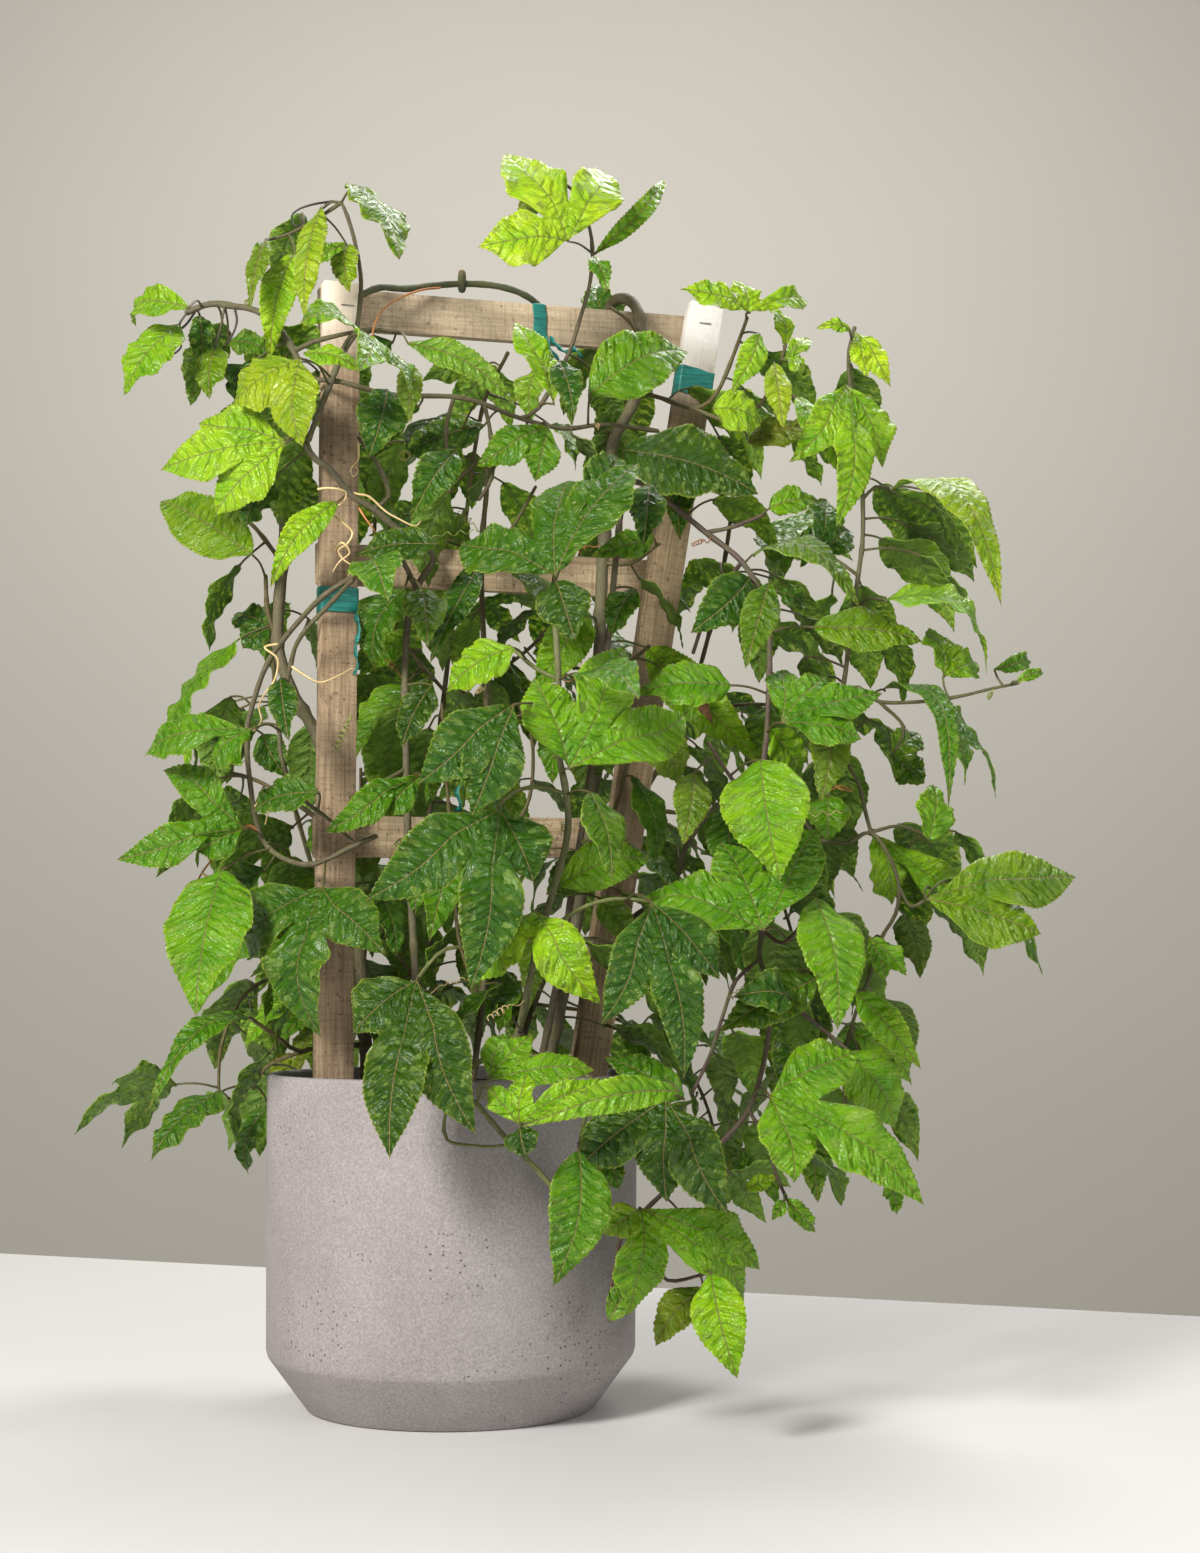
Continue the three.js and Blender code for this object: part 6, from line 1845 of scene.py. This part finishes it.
# %% The wire finish
def wire_finish():
    material, tree, shader = new_material("Staple wire", Metallic=0.85)
    place = object_place(tree)
    rust = ramp(tree, noisy(tree, place, 420.0, 4.0), 0.52, 0.66)
    colour = blend(tree, rust, (0.42, 0.41, 0.40), (0.21, 0.095, 0.045))
    surfaced(tree, shader, colour, sums(tree, "MULTIPLY_ADD", rust, 0.4, 0.32))
    bumped(tree, shader, noisy(tree, place, 1500.0, 2.0), 0.0002)
    return material


# %% Two staples
def staple_piece(name, a, z):
    face = -LATH_DEPTH / 2
    shape = [(-5, face + 5.0), (-5, face + 0.6), (-4.5, face - 0.5), (-3.8, face - 0.75),
             (3.8, face - 0.75), (4.5, face - 0.5), (5, face + 0.6), (5, face + 5.0)]
    line = [trellis_point(a + along, b, z) for along, b in shape]
    store = new_store()
    add_tube(store, line, [WIRE_RADIUS] * len(line), 10, [(0.4, 0.4, 0.4)] * len(line), finish=0)
    return store_object(name, store)


WIRE, WIRE_RADIUS = wire_finish(), 0.45
for name, a, z in (("staple_left", 4, 828), ("staple_right", right_lath_along(842), 842)):
    keep(staple_piece("fine_" + name, a, z), WIRE, "wire", name)

# %% [markdown]
# ## Tendrils
# A passion flower climbs by tendrils that grow beside its leaves. A young one is straight and
# green, one that has caught something winds up like a spring, and an old one is dry and tan. Each
# is a thin closed tube. Some are placed one by one, and the rest grow along the stems by rule.

# %% A tendril that winds up
def spring(start, end, radius, turns, lead=0.35):
    """Points of a tendril that runs straight, then winds up, from one place to another."""
    start, end = vec(*start), vec(*end)
    axis = end - start
    across = unit(np.cross(axis, vec(0.2, 0.9, 0.3)))
    up = unit(np.cross(axis, across))
    points = []
    for t in np.linspace(0, 1, int(10 + 14 * turns)):
        wound = max(0.0, (t - lead) / (1 - lead))
        swing = 2 * math.pi * turns * wound
        reach = radius * min(1.0, wound * 3) * (1 - 0.45 * wound)
        loose = math.sin(math.pi * min(1, t / max(lead, 0.1)))
        sag = vec(0, 0, -0.08 * np.linalg.norm(axis)) * loose
        points.append(start + axis * t + sag
                      + (across * math.cos(swing) + up * math.sin(swing)) * reach)
    return points


# %% A spiral, and a tendril as a tube
CURL_LEAN, CURL_SHRINK = -0.1, 0.55
TENDRIL_STEP, TENDRIL_SIDES, TENDRIL_TAPER = 2.5, 6, 0.45


def curl(centre, radius, turns):
    """A flat spiral, as the tip of a tendril makes in the air."""
    centre = vec(*centre)
    points = []
    for t in np.linspace(0, 1, int(12 * turns) + 6):
        swing = 2 * math.pi * turns * t
        reach = radius * (1 - CURL_SHRINK * t)
        lean = CURL_LEAN * t * radius * 2
        points.append(centre + vec(math.cos(swing), lean, math.sin(swing)) * reach)
    return points


def add_tendril(store, points, radius, tint):
    share = np.linspace(0, 1, len(points))
    tints = [vec(*tint) * (1.05 - 0.3 * part) for part in share]
    radii = radius * (1 - TENDRIL_TAPER * share)
    add_tube(store, points, radii, TENDRIL_SIDES, tints, 0.2, finish=0)


# %% Tendrils that are placed one by one
GREEN_WIRE, TAN_WIRE = (0.24, 0.29, 0.045), (0.80, 0.60, 0.29)
DARK_WIRE, RUST_WIRE = (0.030, 0.024, 0.016), (0.50, 0.20, 0.055)
PLACED_TENDRILS = [
    (DARK_WIRE, [(-205, 838, -52), (-212, 828, -56), (-222, 820, -58), (-228, 812, -58),
      (-222, 805, -58), (-215, 811, -60), (-219, 819, -60), (-226, 815, -58)]),
    (DARK_WIRE, [(-174, 843, -56), (-172, 830, -60), (-178, 815, -60), (-186, 808, -58),
      (-190, 816, -58), (-182, 820, -60)]),
    (DARK_WIRE, [(-99, 927, -66), (-112, 925, -68), (-124, 921, -68), (-130, 915, -66),
      (-127, 907, -66), (-121, 911, -66), (-125, 917, -66)]),
    (RUST_WIRE, [(-13, 858, -22), (-28, 856, -36), (-44, 850, -52), (-57, 841, -66),
      (-64, 829, -76), (-67, 812, -80), (-69, 795, -80)]),
    (TAN_WIRE, [(-96, 678, -78), (-88, 672, -84), (-80, 664, -82), (-84, 655, -82), (-91, 650, -82),
      (-86, 642, -82), (-79, 637, -80), (-83, 630, -78)]),
    (TAN_WIRE, [(-94, 650, -76), (-88, 656, -84), (-82, 648, -82), (-90, 641, -82),
      (-95, 633, -78)]),
    (TAN_WIRE, [(-135, 577, -60), (-147, 574, -62), (-137, 565, -64), (-139, 549, -64),
      (-146, 539, -62), (-151, 529, -60), (-149, 517, -60), (-155, 509, -58)]),
    (TAN_WIRE, [(-127, 560, -76), (-120, 555, -80), (-105, 547, -86), (-92, 551, -86),
      (-79, 558, -84)]),
    (TAN_WIRE, [(-154, 450, -56), (-147, 457, -60), (-143, 449, -62), (-145, 437, -60)]),
    (RUST_WIRE, [(-150, 432, -58), (-158, 436, -62), (-170, 428, -66), (-182, 414, -68),
      (-193, 400, -70), (-200, 385, -70), (-208, 374, -70), (-215, 365, -70), (-211, 357, -70),
      (-204, 361, -70), (-208, 368, -70)]),
    (TAN_WIRE, [(-193, 400, -70), (-184, 392, -72), (-180, 378, -72), (-188, 370, -72),
      (-194, 378, -72), (-186, 384, -72)]),
    (TAN_WIRE, [(-76, 734, -70), (-76, 722, -72), (-80, 717, -74), (-82, 713, -74), (-80, 708, -76),
      (-76, 712, -74), (-78, 716, -72)]),
    (TAN_WIRE, [(-84, 696, -76), (-75, 694, -80), (-67, 692, -80), (-55, 681, -78), (-45, 675, -76),
      (-32, 669, -74), (-27, 673, -72)]),
    (TAN_WIRE, [(-107, 698, -74), (-100, 699, -76), (-91, 698, -80), (-85, 695, -80),
      (-88, 687, -80), (-95, 684, -78), (-102, 679, -76)]),
    (RUST_WIRE, [(-75, 683, -76), (-70, 675, -78), (-64, 667, -78), (-62, 664, -76)]),
]
WOUND_TENDRILS = [
    (GREEN_WIRE, (-80, 522, -84), (-92, 492, -82), 3.0, 6.5, 0.12),
    (DARK_WIRE, (46, 290, -108), (60, 264, -112), 2.6, 5.5, 0.2),
    (GREEN_WIRE, (140, 240, -138), (158, 214, -140), 2.4, 5.0, 0.3),
    (TAN_WIRE, (110, 540, -8), (140, 548, -30), 2.2, 5.0, 0.3),
    (GREEN_WIRE, (306, 592, -30), (326, 574, -36), 2.0, 4.5, 0.35),
    (GREEN_WIRE, (434, 546, -42), (444, 556, -42), 1.6, 3.0, 0.3),
]
SPIRALS = [(-2, 231, -150, 7.5, 2.3), (23, 233, -152, 5.5, 1.8), (-40, 724, -66, 4.5, 1.8)]
SPIRAL_TINT = (0.30, 0.30, 0.05)
store = new_store()
for tint, places in PLACED_TENDRILS:
    add_tendril(store, smooth_line([sight(*place) for place in places], TENDRIL_STEP), 1.0, tint)
for tint, start, end, radius, turns, lead in WOUND_TENDRILS:
    add_tendril(store, spring(sight(*start), sight(*end), radius, turns, lead), 0.7, tint)
for x, z, depth, radius, turns in SPIRALS:
    add_tendril(store, curl(sight(x, z, depth), radius, turns), 0.6, SPIRAL_TINT)
print("corners of the placed tendrils", store["count"])

# %% Tendrils that grow by rule
GROWN_TENDRILS = {"spacing": 118, "first_row": 6000, "first_height": 280}
tendril_row = GROWN_TENDRILS["first_row"]
for vine in vines:
    for stem in vine["stems"]:
        for point in walk(stem["line"], GROWN_TENDRILS["spacing"])[1:]:
            tendril_row += 1
            if point[2] < GROWN_TENDRILS["first_height"]:
                continue
            angle = FULL_TURN * chance(tendril_row, 1)
            reach = some(tendril_row, 2, 30, 30)
            away = vec(math.cos(angle), math.sin(angle), spread(tendril_row, 3, 0.7))
            end = point + unit(away) * reach
            if meets_holder(end) or not inside_plant(np.array([end, (end + point) / 2])):
                continue
            tint = (GREEN_WIRE, TAN_WIRE, GREEN_WIRE, RUST_WIRE)[tendril_row % 4]
            line = spring(point, end, some(tendril_row, 4, 2, 1), some(tendril_row, 5, 3, 3))
            add_tendril(store, line, 0.5, tint)
tendrils = store_object("tendrils", store)


# %% The tendril finish
def tendril_finish():
    material, tree, shader = new_material("Tendril")
    place = object_place(tree)
    tint = stored(tree, "tint", "Color")
    patch = ramp(tree, noisy(tree, place, 90.0, 3.0), 0.35, 0.65)
    surfaced(tree, shader, blend(tree, patch, tint, (0.72, 0.70, 0.62), "MULTIPLY"), 0.5)
    return material


keep(tendrils, tendril_finish(), "foliage")

# %% [markdown]
# ## A cut stub and a dry leaf
# A length of old stem lies over the top rail, cut off at one end, with a knob where a shoot was
# pruned. It is a thick tube of uneven width. A withered leaf hangs by the right upright: it is one
# small leaf that arches and folds far more than a fresh one, and has a brown finish.

# %% The cut stub on the top rail
store = new_store()
STUB_SIDES = 10
STUB = [(-75, 852, -70), (-60, 858, -58), (-40, 857, -40), (-14, 860, -20), (6, 861, -12),
        (26, 860, -6), (44, 856, 2), (58, 849, 12), (70, 838, 24)]
line = smooth_line([sight(*place) for place in STUB], 6)
green = vec(0.075, 0.090, 0.035)
radii = [some(i, 130, 2.4, 0.5) for i in range(len(line))]
tints = [green * some(i, 131, 0.8, 0.5) for i in range(len(line))]
add_tube(store, line, radii, STUB_SIDES, tints, 0.7, finish=0)
knob = [sight(4, z, -14) for z in (856, 861, 866, 870)]
tints = [green * 0.8, green * 0.8, green, (0.3, 0.2, 0.1)]
add_tube(store, knob, [3.0, 3.4, 3.2, 2.9], STUB_SIDES, tints, 0.9, finish=0)
keep(store_object("cut_stub", store), STEM, "foliage")

# %% The dry leaf
DRY_LEAF = {"row": 900, "base": sight(186, 546, -40), "normal": unit(vec(-0.3, -1.0, 0.35)),
            "arch": 0.3, "fold": 0.5, "wave": 3.0, "age": "O",
            "lobes": [(sight(198, 516, -34), 7.0)]}
store = new_store()
add_leaf(store, DRY_LEAF)
dry_leaf = store_object("dry_leaf", store)


# %% The dry leaf's finish
def dry_finish():
    material, tree, shader = new_material("Dry leaf")
    place = object_place(tree)
    patch = noisy(tree, place, 160.0, 4.0)
    colour = blend(tree, ramp(tree, patch, 0.35, 0.68), (0.12, 0.045, 0.016), (0.33, 0.17, 0.07))
    surfaced(tree, shader, colour, 0.7)
    bumped(tree, shader, patch, 0.0012)
    return material


keep(dry_leaf, dry_finish(), "foliage")

# %% [markdown]
# ## Floor and backdrop
# The plant stands on a plain white table top, whose far edge runs a little aslant, and a plain warm
# grey wall is far behind it. Both are stage pieces: they aren't part of the object.

# %% Floor and backdrop
BOX_FACES = [(0, 1, 2, 3), (7, 6, 5, 4), (0, 4, 5, 1), (1, 5, 6, 2), (2, 6, 7, 3), (3, 7, 4, 0)]
TABLE_EDGE, TABLE_LEVELS = [(-2.6, -2.6), (2.6, -2.6), (2.6, -0.31), (-2.6, 1.78)], (-0.0004, -0.05)
WALL_SIDE, WALL_FAR, WALL_FOOT, WALL_TOP = 9.0, 5.5, -4.0, 6.0


def stage_piece(name, corners, faces, colour, rough):
    """A stage surface with a plain, faintly cloudy finish."""
    mesh = bpy.data.meshes.new(name)
    mesh.from_pydata(corners, [], faces)
    piece = linked(name, mesh)
    material, tree, shader = new_material(name + " finish")
    darker = tuple(0.97 * value for value in colour)
    cloudy = blend(tree, noisy(tree, object_place(tree), 2.2, 2.0), colour, darker)
    surfaced(tree, shader, cloudy, rough)
    piece.data.materials.append(material)
    print(name, len(faces), "faces")


table = [(x, y, z) for z in TABLE_LEVELS for x, y in TABLE_EDGE]
stage_piece("floor", table, BOX_FACES, (0.64, 0.632, 0.625), 0.55)
wall = [(-WALL_SIDE, WALL_FAR, WALL_FOOT), (WALL_SIDE, WALL_FAR, WALL_FOOT),
        (WALL_SIDE, WALL_FAR, WALL_TOP), (-WALL_SIDE, WALL_FAR, WALL_TOP)]
stage_piece("backdrop", wall, [(0, 1, 2, 3)], (0.55, 0.525, 0.465), 0.8)

# %% [markdown]
# ## Light and camera
# A soft light from the upper left front models the leaves, a weaker and wider one fills the right,
# a third from behind and above draws bright edges on them, and a fourth lights the wall. The camera
# is level with the lower leaves and looks slightly upward.

# %% Lights
LIGHTS = [
    ("key", (-1.35, -2.1, 1.75), (0.05, 0.0, 0.5), (0.7, 0.7), 118, (1.0, 0.975, 0.94)),
    ("fill", (1.9, -1.7, 1.1), (0.05, 0.0, 0.5), (1.2, 1.2), 20, (0.95, 0.97, 1.0)),
    ("rim", (0.7, 1.1, 2.3), (0.05, 0.0, 0.55), (1.2, 0.8), 38, (1.0, 0.98, 0.95)),
    ("wall", (0.0, 2.6, 3.2), (0.0, 5.5, 0.8), (3.5, 1.0), 90, (1.0, 0.99, 0.97)),
]


def area_light(name, place, aim, size, power, colour):
    """A rectangular light at a place, turned to face another place."""
    data = bpy.data.lights.new(name, "AREA")
    data.shape = "RECTANGLE"
    data.size, data.size_y = size
    data.energy, data.color = power, colour
    lamp = linked(name, data)
    lamp.location = place
    lamp.rotation_euler = (Vector(aim) - Vector(place)).to_track_quat("-Z", "Y").to_euler()


for light in LIGHTS:
    area_light(*light)
print("lights", len(LIGHTS))

# %% Soft light from all round
world = bpy.data.worlds.new("Studio")
world.use_nodes = True
background = world.node_tree.nodes["Background"].inputs
background["Color"].default_value = (0.96, 0.94, 0.91, 1.0)
background["Strength"].default_value = 0.30
bpy.context.scene.world = world
bpy.context.scene.view_settings.view_transform = "Standard"

# %% Camera
LENS, SENSOR, LOOK_UP = 54.75, 36.0, 94.8
camera_data = bpy.data.cameras.new("camera")
camera_data.sensor_fit = "AUTO"
camera_data.sensor_width = SENSOR
camera_data.lens = LENS
camera = linked("camera", camera_data)
camera.location = tuple(EYE * MM)
camera.rotation_euler = (math.radians(LOOK_UP), 0.0, 0.0)
bpy.context.scene.camera = camera
print("camera at", list(EYE * MM))
